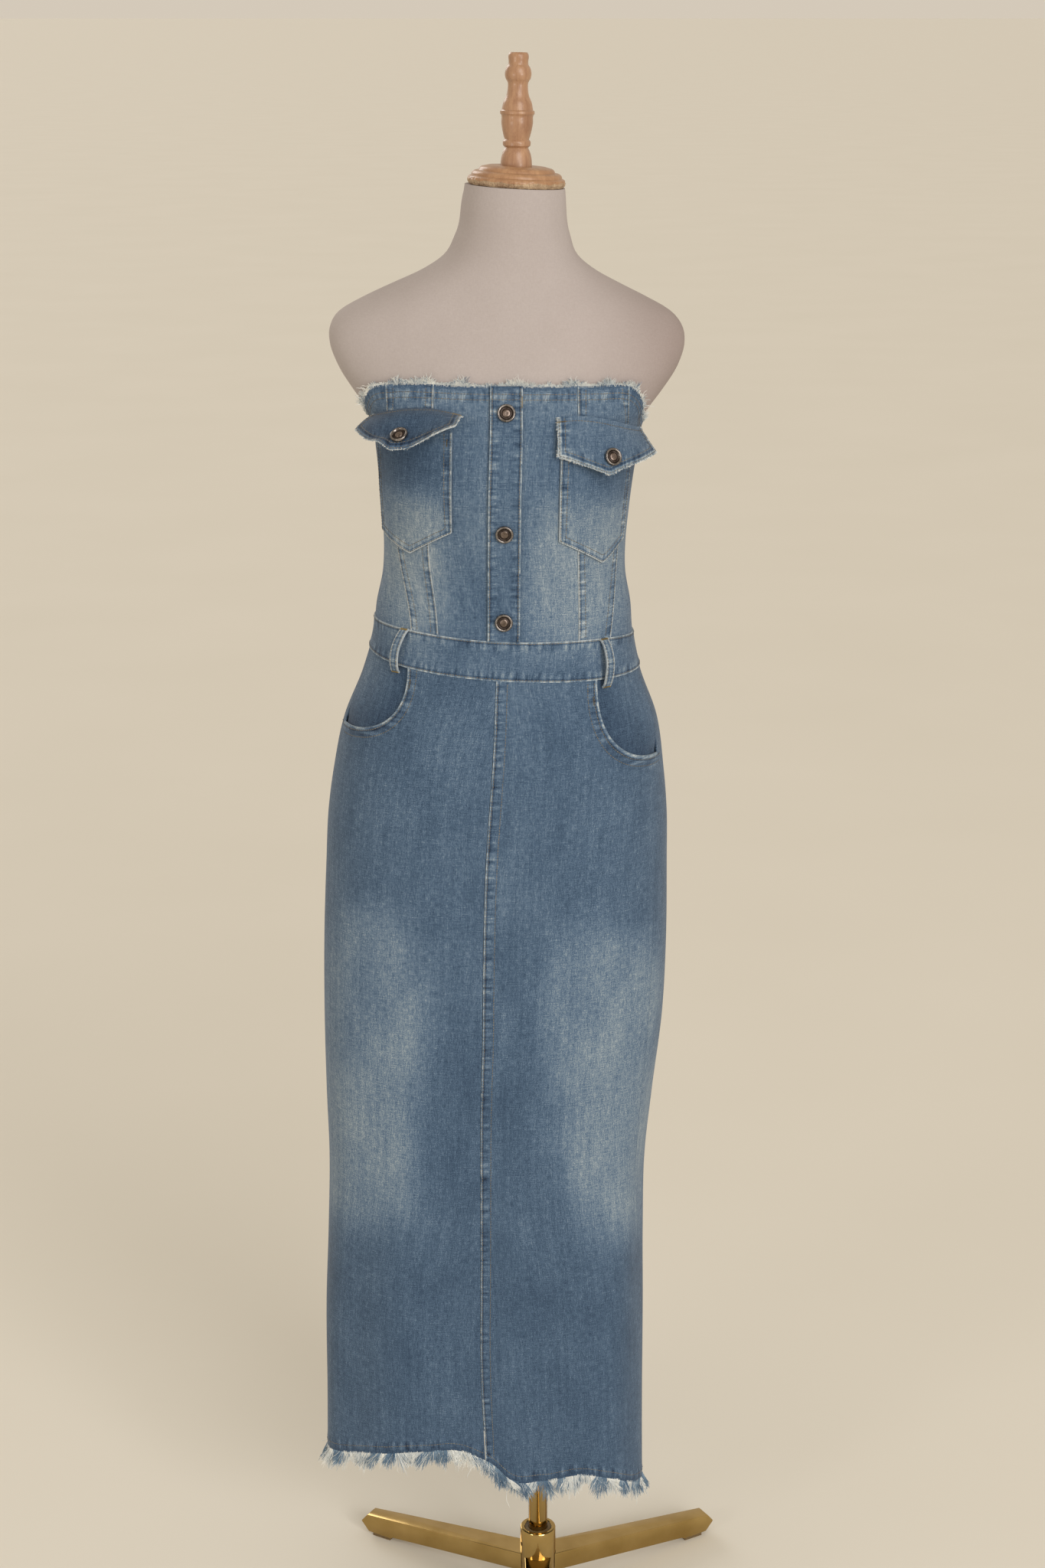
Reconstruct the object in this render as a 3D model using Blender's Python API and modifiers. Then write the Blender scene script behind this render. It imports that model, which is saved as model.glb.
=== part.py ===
"""A strapless denim dress on a limbless dress form with a turned wooden neck cap and a brass tripod.

Metres, +Z up, the front faces -Y. The origin is at the middle of the whole object's footprint, on the floor.
The cloth is described by level sections through its outer face. A place on that face is a turn around the
body (0 at the left side, 0.25 in front, 0.5 at the right side, 0.75 behind; left and right as the viewer
sees them) and a height. Every piece of cloth is a grid laid on the face, in or out from it, with a wall.
"""

import math
from collections import namedtuple

import bmesh
import bpy
import numpy as np
from mathutils import Matrix, Vector

# ---------------------------------------------------------------- driving dimensions

WALL = 0.0012  # one layer of denim, with its seams
DOUBLE_WALL = 0.0020  # folded and stitched: waistband, placket, belt loops
GAP = 0.0003  # between any two pieces
OVERLAY = 0.0009  # clearance under a piece that lies on others

STAND_X, STAND_Y = 0.0138, 0.0564  # the pole, from the middle of the footprint

Section = namedtuple("Section", "height lean half_width front back squareness form_ease")
SECTIONS = (  # level sections of the cloth's outer face; lean is the middle's way sideways from the pole
    Section(0.140, -0.0606, 0.1815, 0.075, 0.084, 2.30, 0.0020),
    Section(0.259, -0.0606, 0.1800, 0.081, 0.088, 2.30, 0.0020),
    Section(0.374, -0.0605, 0.1793, 0.088, 0.094, 2.30, 0.0020),
    Section(0.466, -0.0590, 0.1765, 0.093, 0.098, 2.30, 0.0020),
    Section(0.555, -0.0572, 0.1755, 0.097, 0.102, 2.30, 0.0020),
    Section(0.630, -0.0545, 0.1796, 0.100, 0.106, 2.30, 0.0020),
    Section(0.730, -0.0495, 0.1850, 0.104, 0.111, 2.30, 0.0020),
    Section(0.810, -0.0475, 0.1855, 0.107, 0.116, 2.30, 0.0024),
    Section(0.900, -0.0458, 0.1830, 0.110, 0.121, 2.25, 0.0018),
    Section(0.960, -0.0445, 0.1805, 0.111, 0.122, 2.20, 0.0018),
    Section(1.006, -0.0432, 0.1750, 0.110, 0.119, 2.20, 0.0046),
    Section(1.060, -0.0412, 0.1651, 0.106, 0.110, 2.15, 0.0052),
    Section(1.110, -0.0400, 0.1460, 0.099, 0.097, 2.10, 0.0050),
    Section(1.153, -0.0385, 0.1355, 0.094, 0.086, 2.10, 0.0042),
    Section(1.183, -0.0378, 0.1325, 0.092, 0.080, 2.10, 0.0018),
    Section(1.216, -0.0372, 0.1262, 0.094, 0.078, 2.10, 0.0015),
    Section(1.247, -0.0365, 0.1253, 0.099, 0.079, 2.10, 0.0015),
    Section(1.280, -0.0358, 0.1275, 0.105, 0.082, 2.10, 0.0015),
    Section(1.311, -0.0352, 0.1304, 0.110, 0.085, 2.20, 0.0015),
    Section(1.345, -0.0340, 0.1345, 0.109, 0.086, 2.20, 0.0018),
    Section(1.375, -0.0331, 0.1400, 0.103, 0.087, 2.30, 0.0030),
    Section(1.388, -0.0330, 0.1485, 0.100, 0.087, 2.40, 0.0034),
    Section(1.407, -0.0329, 0.1623, 0.093, 0.087, 2.50, 0.0032),
    Section(1.432, -0.0328, 0.1772, 0.085, 0.086, 2.60, 0.0026),
    Section(1.453, -0.0336, 0.1825, 0.079, 0.084, 2.50, 0.0012),
    Section(1.466, -0.0345, 0.1815, 0.075, 0.082, 2.40, 0.0012),
    Section(1.483, -0.0360, 0.1690, 0.071, 0.079, 2.20, 0.0012),
    Section(1.496, -0.0360, 0.1460, 0.068, 0.076, 2.10, 0.0012),
    Section(1.509, -0.0350, 0.1190, 0.065, 0.073, 2.00, 0.0012),
    Section(1.522, -0.0325, 0.0920, 0.063, 0.070, 2.00, 0.0012),
    Section(1.534, -0.0305, 0.0740, 0.062, 0.068, 2.00, 0.0012),
    Section(1.559, -0.0280, 0.0600, 0.058, 0.062, 2.00, 0.0012),
    Section(1.597, -0.0264, 0.0540, 0.053, 0.055, 2.00, 0.0012),
    Section(1.612, -0.0250, 0.0515, 0.051, 0.052, 2.00, 0.0012),
)

TOP_EDGE = (  # turn, height of the raw top edge
    (-0.1, 1.368), (0.0, 1.376), (0.042, 1.388), (0.08, 1.403), (0.115, 1.415), (0.15, 1.419),
    (0.25, 1.418), (0.32, 1.418), (0.36, 1.417), (0.40, 1.403), (0.436, 1.384), (0.5, 1.372),
    (0.6, 1.366), (0.75, 1.364), (0.9, 1.368), (1.0, 1.376), (1.1, 1.40),
)
WAIST_SEAM = (  # turn, height where the bodice meets the waistband
    (-0.2, 1.158), (0.0, 1.169), (0.12, 1.1675), (0.25, 1.1605), (0.38, 1.1575), (0.5, 1.152),
    (0.75, 1.158), (1.0, 1.169), (1.12, 1.1675),
)
BAND_SEAM = (  # turn, height where the waistband meets the skirt
    (-0.2, 1.124), (0.0, 1.1365), (0.13, 1.1285), (0.25, 1.1203), (0.38, 1.1155), (0.5, 1.116),
    (0.75, 1.118), (1.0, 1.1365), (1.13, 1.1285),
)
HEM = (  # turn, height of the raw hem: the left front hangs higher than the right
    (-0.1, 0.187), (0.0, 0.1935), (0.075, 0.2014), (0.145, 0.2143), (0.20, 0.2233), (0.240, 0.2225),
    (0.2565, 0.2074), (0.2665, 0.1915), (0.30, 0.1835), (0.346, 0.1868), (0.382, 0.1774),
    (0.434, 0.1600), (0.5, 0.1524), (0.6, 0.158), (0.75, 0.170), (0.9, 0.187), (1.0, 0.1935),
    (1.1, 0.206),
)
SIDE_SEAMS = (  # height, turn of the left and of the right side seam
    (0.14, 0.010, 0.490), (0.45, 0.020, 0.465), (0.55, 0.040, 0.440), (0.70, 0.045, 0.425),
    (0.92, 0.040, 0.435), (1.03, 0.030, 0.455), (1.15, 0.020, 0.480), (1.25, 0.010, 0.490),
    (1.43, 0.005, 0.495),
)
BODICE_SEAMS = (  # height, then the way sideways from the section's middle of each front seam
    # height, outer left, inner left, centre, inner right, outer right
    (1.15, -0.0925, -0.0645, 0.0014, 0.0775, 0.1105),
    (1.18, -0.0955, -0.0665, 0.0010, 0.0768, 0.1130),
    (1.25, -0.1090, -0.0755, 0.0002, 0.0741, 0.1160),
    (1.32, -0.1165, -0.0745, -0.0004, 0.0715, 0.1190),
    (1.43, -0.1220, -0.0726, -0.0010, 0.0690, 0.1215),
)
SKIRT_SEAM = (  # height, way sideways from the section's middle of the centre front seam
    (0.14, 0.0040), (0.22, 0.0010), (0.32, -0.0032), (0.42, -0.0042), (0.53, -0.0057),
    (0.69, -0.0101), (0.83, -0.0118), (0.92, -0.0108), (1.03, -0.0065), (1.13, -0.0050),
)

BACK_COLUMNS = 20  # facets across a back piece
BODICE_ROWS, SKIRT_ROWS = 13, 17
TOP_CROWDING, POCKET_CROWDING = 1.5, 1.2  # rows stand closer towards a piece's top

PLACKET_HALF_WIDTH = 0.0163
TOP_FRAY = 0.007  # reach of the threads above the top edge
HEM_FRINGE = 0.022  # reach of the threads below the hem

# chest pockets: edges and corners, sideways from the section's middle (way) and by height
Pocket = namedtuple("Pocket", "left_top left_foot right_top right_foot point top foot_left foot_right foot_point")
CHEST_POCKETS = {
    "left": Pocket(-0.1300, -0.1225, -0.0540, -0.0514, -0.0938, 1.374, 1.263, 1.274, 1.247),
    "right": Pocket(0.0530, 0.0542, 0.1255, 0.1182, 0.0985, 1.366, 1.264, 1.256, 1.236),
}
# pocket flaps: the stitched hinge (ways and heights), its length down at both ends and at the point
Flap = namedtuple("Flap", "start end start_height crown_height end_height start_drop point_drop end_drop point_at")
FLAPS = {
    "left": Flap(-0.1330, -0.0455, 1.3850, 1.3955, 1.3890, 0.0230, 0.0560, 0.0280, 0.36),
    "right": Flap(0.0490, 0.1325, 1.3880, 1.3865, 1.3700, 0.0380, 0.0550, 0.0290, 0.58),
}
FLAP_SWING = {  # across the flap, angle out of the bodice at the hinge and at the free edge, in degrees
    "left": ((0.0, 94.0, 80.0), (0.5, 62.0, 18.0), (1.0, 76.0, 66.0)),
    "right": ((0.0, 5.0, 6.0), (0.5, 14.0, 18.0), (1.0, 30.0, 50.0)),
}
FLAP_LIFT = 0.00092  # clearance under a flap's hinge
FLAP_RISE = 0.010  # a flap climbs onto the pocket's thickness over this length
FLAP_STEPS = 8  # of its curve from the hinge to the free edge

BUTTON_RADIUS = 0.0091
BUTTON_SHANK = 0.0008  # clearance under a button
BUTTON_PROFILE = (  # radius as a share of the button's, height above its back
    (0.00, 0.0030), (0.38, 0.0028), (0.46, 0.0020), (0.66, 0.0018), (0.76, 0.0034), (0.90, 0.0036),
    (1.00, 0.0024), (0.97, 0.0006), (0.80, 0.0), (0.00, 0.0),
)
PLACKET_BUTTONS = (1.3922, 1.2747, 1.1809)  # heights
# share across and share down the flap, and the clearance over its curve
FLAP_BUTTONS = {"left": (0.41, 0.66, 0.0012), "right": (0.62, 0.71, 0.0006)}

# belt loops: sideways from the section's middle at the top and the foot, and heights
Loop = namedtuple("Loop", "top_way foot_way top foot")
BELT_LOOPS = {
    "left": Loop(-0.0985, -0.1075, 1.1665, 1.1235),
    "right": Loop(0.1020, 0.1070, 1.1560, 1.1085),
}
LOOP_WIDTH = 0.0090
LOOP_BOW = 0.0095  # clear height of the loop over the waistband
LOOP_ROUNDNESS = 0.6  # 1 for a sine's arch, less for a flatter top and steeper ends

# scooped hip pockets: quarter ovals from the waistband to the side seam
Scoop = namedtuple("Scoop", "middle_way top reach depth")
SCOOPS = {
    "left": Scoop(-0.1680, 1.1290, 0.0715, 0.0705),
    "right": Scoop(0.1700, 1.1150, 0.0715, 0.0870),
}
SCOOP_SQUARENESS = 2.3
SCOOP_STEPS = 12
SCOOP_CUTTER = {"left": -0.30, "right": 0.25, "top": 1.20, "front": -0.14, "length": 0.195}  # its far faces
FACING_MARGIN = 0.016  # the facing behind a scoop runs on past its edge

# dress form
FORM_FOOT = 0.800
FORM_ENDS = ((0.0, 0.009), (0.003, 0.003), (0.010, 0.0), (0.055, 0.0))  # height over the foot, way in
FORM_COLUMNS = 40
NECK_TOP = 1.6060
CAP_TILT = math.radians(3.0)
CAP_X = -0.0243  # from the pole
CAP_PROFILE = (  # radius, height above the cap's underside
    (0.0, 0.0178), (0.0355, 0.0178), (0.0375, 0.0160), (0.0385, 0.0140), (0.0430, 0.0132),
    (0.0450, 0.0112), (0.0455, 0.0090), (0.0480, 0.0078), (0.0493, 0.0055), (0.0490, 0.0030),
    (0.0470, 0.0), (0.0, 0.0),
)
FINIAL_TILT = math.radians(1.3)
FINIAL_FOOT = 1.6249
FINIAL_PROFILE = (  # radius, height above the finial's foot
    (0.0, 0.1100), (0.0085, 0.1100), (0.0099, 0.1078), (0.0099, 0.0985), (0.0118, 0.0955),
    (0.0132, 0.0900), (0.0124, 0.0850), (0.0103, 0.0813), (0.0101, 0.0755), (0.0113, 0.0685),
    (0.0141, 0.0621), (0.0153, 0.0565), (0.0155, 0.0550), (0.0171, 0.0538), (0.0171, 0.0514),
    (0.0159, 0.0495), (0.0158, 0.0430), (0.0152, 0.0384), (0.0137, 0.0315), (0.0122, 0.0266),
    (0.0138, 0.0245), (0.0138, 0.0208), (0.0115, 0.0185), (0.0135, 0.0145), (0.0151, 0.0085),
    (0.0157, 0.0030), (0.0157, 0.0), (0.0, 0.0),
)

# stand
POLE_RADIUS = 0.0110
POLE_FOOT = 0.0205
SOCKET_DEPTH = 0.060  # the pole's way into the form
HUB_RADIUS = 0.0205
HUB_TOP, HUB_FOOT, HUB_FLOOR = 0.0810, 0.0120, 0.0200
BUSHING_RADIUS = 0.0155
BUSHING_FOOT, BUSHING_TOP = 0.0690, 0.0805
SCREW_RADIUS, SCREW_LENGTH, SCREW_HEIGHT = 0.0024, 0.0060, 0.0610
SCREW_HOLE_DEPTH = 0.0080
SCREW_BEARING = math.radians(200)  # the hub's left side, turned a little to the front

LEG_BEARINGS = {"front": -90.0, "left": 150.0, "right": 30.0}  # degrees from +X
LEG_OUTLINE = (  # distance from the pole, height
    (0.008, 0.0255), (0.196, 0.0072), (0.199, 0.0050), (0.231, 0.0050), (0.2415, 0.0165),
    (0.2330, 0.0268), (0.008, 0.0480),
)
LEG_ROOT_WIDTH, LEG_TIP_WIDTH = 0.0320, 0.0185
PAD_FROM, PAD_TO, PAD_WIDTH, PAD_HEIGHT = 0.2020, 0.2260, 0.0140, 0.0046

# ---------------------------------------------------------------- finishes

FINISHES = {  # colour (linear), roughness, metallic
    "denim": ((0.105, 0.180, 0.285), 0.85, 0.0),
    "denim_dark": ((0.050, 0.100, 0.185), 0.85, 0.0),
    "frayed_cotton": ((0.560, 0.600, 0.600), 0.95, 0.0),
    "form_cover": ((0.500, 0.420, 0.380), 0.90, 0.0),
    "turned_wood": ((0.600, 0.350, 0.190), 0.55, 0.0),
    "polished_brass": ((0.620, 0.430, 0.150), 0.16, 1.0),
    "dark_nylon": ((0.030, 0.028, 0.026), 0.50, 0.0),
    "button_bronze": ((0.130, 0.085, 0.060), 0.35, 1.0),
    "screw_steel": ((0.050, 0.050, 0.052), 0.40, 1.0),
}


def make_finish(name):
    colour, roughness, metallic = FINISHES[name]
    material = bpy.data.materials.new(name)
    material.use_nodes = True
    shader = material.node_tree.nodes["Principled BSDF"]
    shader.inputs["Base Color"].default_value = (*colour, 1.0)
    shader.inputs["Roughness"].default_value = roughness
    shader.inputs["Metallic"].default_value = metallic
    return material


# ---------------------------------------------------------------- scene and objects

for old in list(bpy.data.objects):
    bpy.data.objects.remove(old)

PARTS = bpy.data.collections.new("strapless_denim_dress")
CUTTERS = bpy.data.collections.new("cutters")
for collection in (PARTS, CUTTERS):
    bpy.context.scene.collection.children.link(collection)

finishes = {name: make_finish(name) for name in FINISHES}


def add_object(name, mesh, finish, smooth_angle=35.0):
    mesh.materials.append(finishes[finish])
    mesh.shade_smooth()
    mesh.set_sharp_from_angle(angle=math.radians(smooth_angle))
    item = bpy.data.objects.new(name, mesh)
    PARTS.objects.link(item)
    return item


def add_cutter(name, mesh):
    item = bpy.data.objects.new(name, mesh)
    item.hide_render = True
    item.display_type = "WIRE"
    CUTTERS.objects.link(item)
    return item


def cut(item, cutter):
    boolean = item.modifiers.new(cutter.name, "BOOLEAN")
    boolean.operation = "DIFFERENCE"
    boolean.object = cutter


def finish_mesh(name, bm):
    mesh = bpy.data.meshes.new(name)
    bm.to_mesh(mesh)
    bm.free()
    return mesh


# ---------------------------------------------------------------- curves through the tables


def smooth_curve(rows):
    """A smooth curve through a table's rows: the first column goes in, the others come out."""
    table = np.array(rows, dtype=float)
    places, values = table[:, 0], table[:, 1:]
    slopes = np.gradient(values, places, axis=0)

    def at(place):
        row = int(np.clip(np.searchsorted(places, place) - 1, 0, len(places) - 2))
        span = places[row + 1] - places[row]
        t = min(max((place - places[row]) / span, 0.0), 1.0)
        leave, arrive = slopes[row] * span, slopes[row + 1] * span
        return (
            values[row] * (2 * t**3 - 3 * t**2 + 1)
            + leave * (t**3 - 2 * t**2 + t)
            + values[row + 1] * (3 * t**2 - 2 * t**3)
            + arrive * (t**3 - t**2)
        )

    return at


def straight_curve(rows):
    """The same, with straight lines from row to row and one column out."""
    places, values = np.array(rows, dtype=float).T
    return lambda place: float(np.interp(place, places, values))


section_at = smooth_curve(SECTIONS)
side_seams_at = smooth_curve(SIDE_SEAMS)
bodice_seams_at = smooth_curve(BODICE_SEAMS)
skirt_seam_at = smooth_curve(SKIRT_SEAM)


def edge_curve(rows):
    curve = smooth_curve(rows)
    return lambda turn: float(curve(turn)[0])


top_edge = edge_curve(TOP_EDGE)
waist_seam = edge_curve(WAIST_SEAM)
band_seam = edge_curve(BAND_SEAM)
hem = edge_curve(HEM)

# ---------------------------------------------------------------- the cloth's outer face

TURN_STEP, HEIGHT_STEP = 0.002, 0.002  # for slopes


def signed_power(value, power):
    return math.copysign(abs(value) ** power, value)


def face_point(turn, height):
    lean, half_width, front, back, squareness, _ = section_at(height)
    power = 2 / squareness
    across = signed_power(math.cos(math.tau * turn), power)
    ahead = signed_power(math.sin(math.tau * turn), power)
    depth = front if ahead > 0 else back
    return Vector((STAND_X + lean - half_width * across, STAND_Y - depth * ahead, height))


def face_normal(turn, height):
    around = face_point(turn + TURN_STEP, height) - face_point(turn - TURN_STEP, height)
    up = face_point(turn, height + HEIGHT_STEP) - face_point(turn, height - HEIGHT_STEP)
    return around.cross(up).normalized()


def skin(turn, height, out=0.0):
    return face_point(turn, height) + face_normal(turn, height) * out


def way_round(turn, height):
    """Metres along the face for a whole turn, at this place."""
    step = face_point(turn + TURN_STEP, height) - face_point(turn - TURN_STEP, height)
    return step.length / (2 * TURN_STEP)


def front_turn(way, height):
    """The turn of a place on the front that is so far sideways from the section's middle."""
    _, half_width, _, _, squareness, _ = section_at(height)
    share = min(max(-way / half_width, -1.0), 1.0)
    return math.acos(signed_power(share, squareness / 2)) / math.tau


def left_side(height):
    return side_seams_at(height)[0]


def right_side(height):
    return side_seams_at(height)[1]


def left_side_again(height):
    return side_seams_at(height)[0] + 1.0


def bodice_seam(column):
    return lambda height: front_turn(bodice_seams_at(height)[column], height)


def skirt_seam(height):
    return front_turn(skirt_seam_at(height)[0], height)


# ---------------------------------------------------------------- cloth pieces


def patch(left, right, foot, top, out=-WALL, crowding=1.0):
    """Places on the face between two side edges (turn by height) and two ends (height by turn).

    Rows stand closer together towards the top where crowding is over 1.
    """

    def place(u, v):
        v = 1 - (1 - v) ** crowding
        height = (foot(0.25) + top(0.25)) / 2
        turn = 0.25
        for _ in range(5):
            inset = GAP / 2 / way_round(turn, height)
            start, end = left(height) + inset, right(height) - inset
            turn = start + (end - start) * u
            low, high = foot(turn) + GAP / 2, top(turn) - GAP / 2
            height = low + (high - low) * v
        return skin(turn, height, out)

    return place


def cloth(name, place, columns, rows, wall=WALL, finish="denim"):
    """A grid laid out by place(u, v), its normals outwards, with a wall added on its outer side."""
    bm = bmesh.new()
    bmesh.ops.create_grid(bm, x_segments=columns, y_segments=rows, size=0.5)
    for vertex in bm.verts:
        vertex.co = place(vertex.co.x + 0.5, vertex.co.y + 0.5)
    item = add_object(name, finish_mesh(name, bm), finish)
    solidify = item.modifiers.new("wall", "SOLIDIFY")
    solidify.thickness = wall
    solidify.offset = 1.0
    return item


def bodice():
    edges = [left_side, *(bodice_seam(i) for i in range(5)), right_side]
    names = (
        ("bodice_side_left", 6), ("bodice_princess_left", 3), ("bodice_front_left", 5),
        ("bodice_front_right", 5), ("bodice_princess_right", 3), ("bodice_side_right", 6),
    )
    panels = [(*name, left, right) for name, left, right in zip(names, edges, edges[1:])]
    panels.append(("bodice_back", BACK_COLUMNS, right_side, left_side_again))

    def fray_top(turn):
        return top_edge(turn) + TOP_FRAY

    for name, columns, left, right in panels:
        cloth(name, patch(left, right, waist_seam, top_edge, crowding=TOP_CROWDING), columns, BODICE_ROWS)
        fray = patch(left, right, top_edge, fray_top)
        cloth(f"{name}_top_fray", fray, columns, 1, finish="frayed_cotton")


def placket():
    def left(height):
        return front_turn(bodice_seams_at(height)[2] - PLACKET_HALF_WIDTH, height)

    def right(height):
        return front_turn(bodice_seams_at(height)[2] + PLACKET_HALF_WIDTH, height)

    place = patch(left, right, waist_seam, top_edge, OVERLAY, TOP_CROWDING)
    cloth("placket", place, 3, BODICE_ROWS, DOUBLE_WALL)


def waistband():
    cloth("waistband_front", patch(left_side, right_side, band_seam, waist_seam), 24, 2, DOUBLE_WALL)
    back = patch(right_side, left_side_again, band_seam, waist_seam)
    cloth("waistband_back", back, BACK_COLUMNS, 2, DOUBLE_WALL)


def chest_pocket(side):
    """A five-cornered patch pocket, over the bodice's front seams."""
    shape = CHEST_POCKETS[side]

    def edge(top_way, foot_way):
        rows = ((shape.foot_point, foot_way), (shape.top, top_way))
        return lambda height: front_turn(straight_curve(rows)(height), height)

    def foot(turn):
        corners = (
            (front_turn(shape.left_foot, shape.foot_left), shape.foot_left),
            (front_turn(shape.point, shape.foot_point), shape.foot_point),
            (front_turn(shape.right_foot, shape.foot_right), shape.foot_right),
        )
        return straight_curve(corners)(turn)

    left, right = edge(shape.left_top, shape.left_foot), edge(shape.right_top, shape.right_foot)
    pocket = patch(left, right, foot, lambda turn: shape.top, OVERLAY + GAP, POCKET_CROWDING)
    cloth(f"chest_pocket_{side}", pocket, 9, 8)


def flap_place(side, u, reach):
    """A place on the flap's underside, a share u across and a share reach down from its hinge."""
    flap = FLAPS[side]
    bend = 4 * u * (1 - u)
    hinge = flap.start_height + (flap.end_height - flap.start_height) * u
    hinge += (flap.crown_height - (flap.start_height + flap.end_height) / 2) * bend
    way = flap.start + (flap.end - flap.start) * u
    to_point = u / flap.point_at if u < flap.point_at else (1 - u) / (1 - flap.point_at)
    corner = flap.start_drop if u < flap.point_at else flap.end_drop
    length = corner + (flap.point_drop - corner) * to_point
    hinge_angle, edge_angle = smooth_curve(FLAP_SWING[side])(u)
    step = length * reach / FLAP_STEPS
    drop, out = 0.0, FLAP_LIFT
    for index in range(FLAP_STEPS):
        share = (index + 0.5) / FLAP_STEPS * reach
        angle = math.radians(hinge_angle + (edge_angle - hinge_angle) * share)
        drop += step * math.cos(angle)
        out += step * math.sin(angle)
    over_pocket = min(length * reach / FLAP_RISE, 1.0) * (WALL + OVERLAY + 2 * GAP)
    round_the_side = 1 - u if side == "left" else u
    hinge_turn, straight_down = front_turn(way, hinge), front_turn(way, hinge - drop)
    turn = straight_down + (hinge_turn - straight_down) * round_the_side
    return skin(turn, hinge - drop, out + over_pocket)


def pocket_flap(side):
    cloth(f"pocket_flap_{side}", lambda u, v: flap_place(side, u, 1 - v), 14, 6, finish="denim_dark")


def belt_loop(side):
    loop = BELT_LOOPS[side]
    band_face = DOUBLE_WALL - WALL

    def place(u, v):
        height = loop.foot + (loop.top - loop.foot) * v
        way = loop.foot_way + (loop.top_way - loop.foot_way) * v
        middle = front_turn(way, height)
        turn = middle + (u - 0.5) * LOOP_WIDTH / way_round(middle, height)
        return skin(turn, height, GAP + band_face * v + LOOP_BOW * math.sin(math.pi * v) ** LOOP_ROUNDNESS)

    cloth(f"belt_loop_{side}", place, 2, 14, DOUBLE_WALL)


def scoop_outline(side):
    """The quarter oval of a hip pocket's mouth, from the waistband down and out to the side."""
    scoop = SCOOPS[side]
    inward = 1 if side == "left" else -1
    power = 2 / SCOOP_SQUARENESS
    for step in range(SCOOP_STEPS + 1):
        angle = math.pi / 2 * step / SCOOP_STEPS
        way = scoop.middle_way + inward * scoop.reach * math.cos(angle) ** power
        yield way, scoop.top - scoop.depth * math.sin(angle) ** power


def scoop_cutter(side):
    """The pocket's mouth as a prism along Y, from well above and beside the panel's corner."""
    lean = section_at(SCOOPS[side].top)[0]
    beyond, above = SCOOP_CUTTER[side], SCOOP_CUTTER["top"]
    outline = [(way + lean + STAND_X, height) for way, height in scoop_outline(side)]
    outline += [(beyond, outline[-1][1]), (beyond, above), (outline[0][0], above)]
    bm = bmesh.new()
    face = bm.faces.new([bm.verts.new((x, SCOOP_CUTTER["front"], z)) for x, z in outline])
    side_faces = bmesh.ops.extrude_face_region(bm, geom=[face])
    moved = [item for item in side_faces["geom"] if isinstance(item, bmesh.types.BMVert)]
    bmesh.ops.translate(bm, verts=moved, vec=(0.0, SCOOP_CUTTER["length"], 0.0))
    bmesh.ops.recalc_face_normals(bm, faces=bm.faces)
    return add_cutter(f"scoop_{side}", finish_mesh(f"scoop_{side}", bm))


def hip_facing(side):
    """The pocket's facing, behind the mouth: from the side seam to past the scoop's edge."""
    scoop = SCOOPS[side]
    foot_height = scoop.top - scoop.depth - FACING_MARGIN
    reach = scoop.reach + FACING_MARGIN

    def inner_edge(height):
        way = scoop.middle_way + (reach if side == "left" else -reach)
        return front_turn(way, height)

    edges = (left_side, inner_edge) if side == "left" else (inner_edge, right_side)
    place = patch(*edges, lambda turn: foot_height, band_seam, -2 * WALL - OVERLAY - GAP)
    cloth(f"hip_pocket_facing_{side}", place, 8, 8)


def skirt():
    def fringe_foot(turn):
        return hem(turn) - HEM_FRINGE

    panels = (
        ("skirt_front_left", left_side, skirt_seam, 13),
        ("skirt_front_right", skirt_seam, right_side, 13),
        ("skirt_back", right_side, left_side_again, BACK_COLUMNS),
    )
    made = {}
    for name, left, right, columns in panels:
        place = patch(left, right, hem, band_seam, crowding=TOP_CROWDING)
        made[name] = cloth(name, place, columns, SKIRT_ROWS)
        fringe = patch(left, right, fringe_foot, hem)
        cloth(f"{name}_hem_fringe", fringe, columns, 1, finish="frayed_cotton")
    for side in ("left", "right"):
        cut(made[f"skirt_front_{side}"], scoop_cutter(side))


# ---------------------------------------------------------------- turned pieces and buttons


def turned(name, profile, finish, segments):
    """A profile of (radius, height) rows, from the top down its outer side, spun round its own Z."""
    bm = bmesh.new()
    points = [bm.verts.new((radius, 0.0, height)) for radius, height in profile]
    for start, end in zip(points, points[1:]):
        bm.edges.new((start, end))
    item = add_object(name, finish_mesh(name, bm), finish)
    screw = item.modifiers.new("turn", "SCREW")
    screw.steps = screw.render_steps = segments
    screw.use_merge_vertices = True
    screw.merge_threshold = 0.00001
    screw.use_smooth_shade = True
    return item


def stand_on(item, place, normal, back=0.0):
    """Sets an item's own Z along a normal, and its origin on a place."""
    item.location = place + normal * back
    item.rotation_mode = "QUATERNION"
    item.rotation_quaternion = normal.to_track_quat("Z", "Y")


def buttons():
    profile = [(share * BUTTON_RADIUS, height) for share, height in BUTTON_PROFILE]
    first = turned("placket_button_1", profile, "button_bronze", 14)
    copies = [first]
    for name in ("placket_button_2", "placket_button_3", "flap_button_left", "flap_button_right"):
        copy = first.copy()
        copy.name = name
        PARTS.objects.link(copy)
        copies.append(copy)
    placket_face = OVERLAY + DOUBLE_WALL + BUTTON_SHANK
    for button, height in zip(copies, PLACKET_BUTTONS):
        turn = front_turn(bodice_seams_at(height)[2], height)
        stand_on(button, skin(turn, height), face_normal(turn, height), placket_face)
    for button, side in zip(copies[3:], FLAP_BUTTONS):
        u, reach, shank = FLAP_BUTTONS[side]
        step = 0.1
        across = flap_place(side, u + step, reach) - flap_place(side, u - step, reach)
        down = flap_place(side, u, reach + step) - flap_place(side, u, reach - step)
        normal = down.cross(across).normalized()
        stand_on(button, flap_place(side, u, reach), normal, WALL + shank)


# ---------------------------------------------------------------- form


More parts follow.
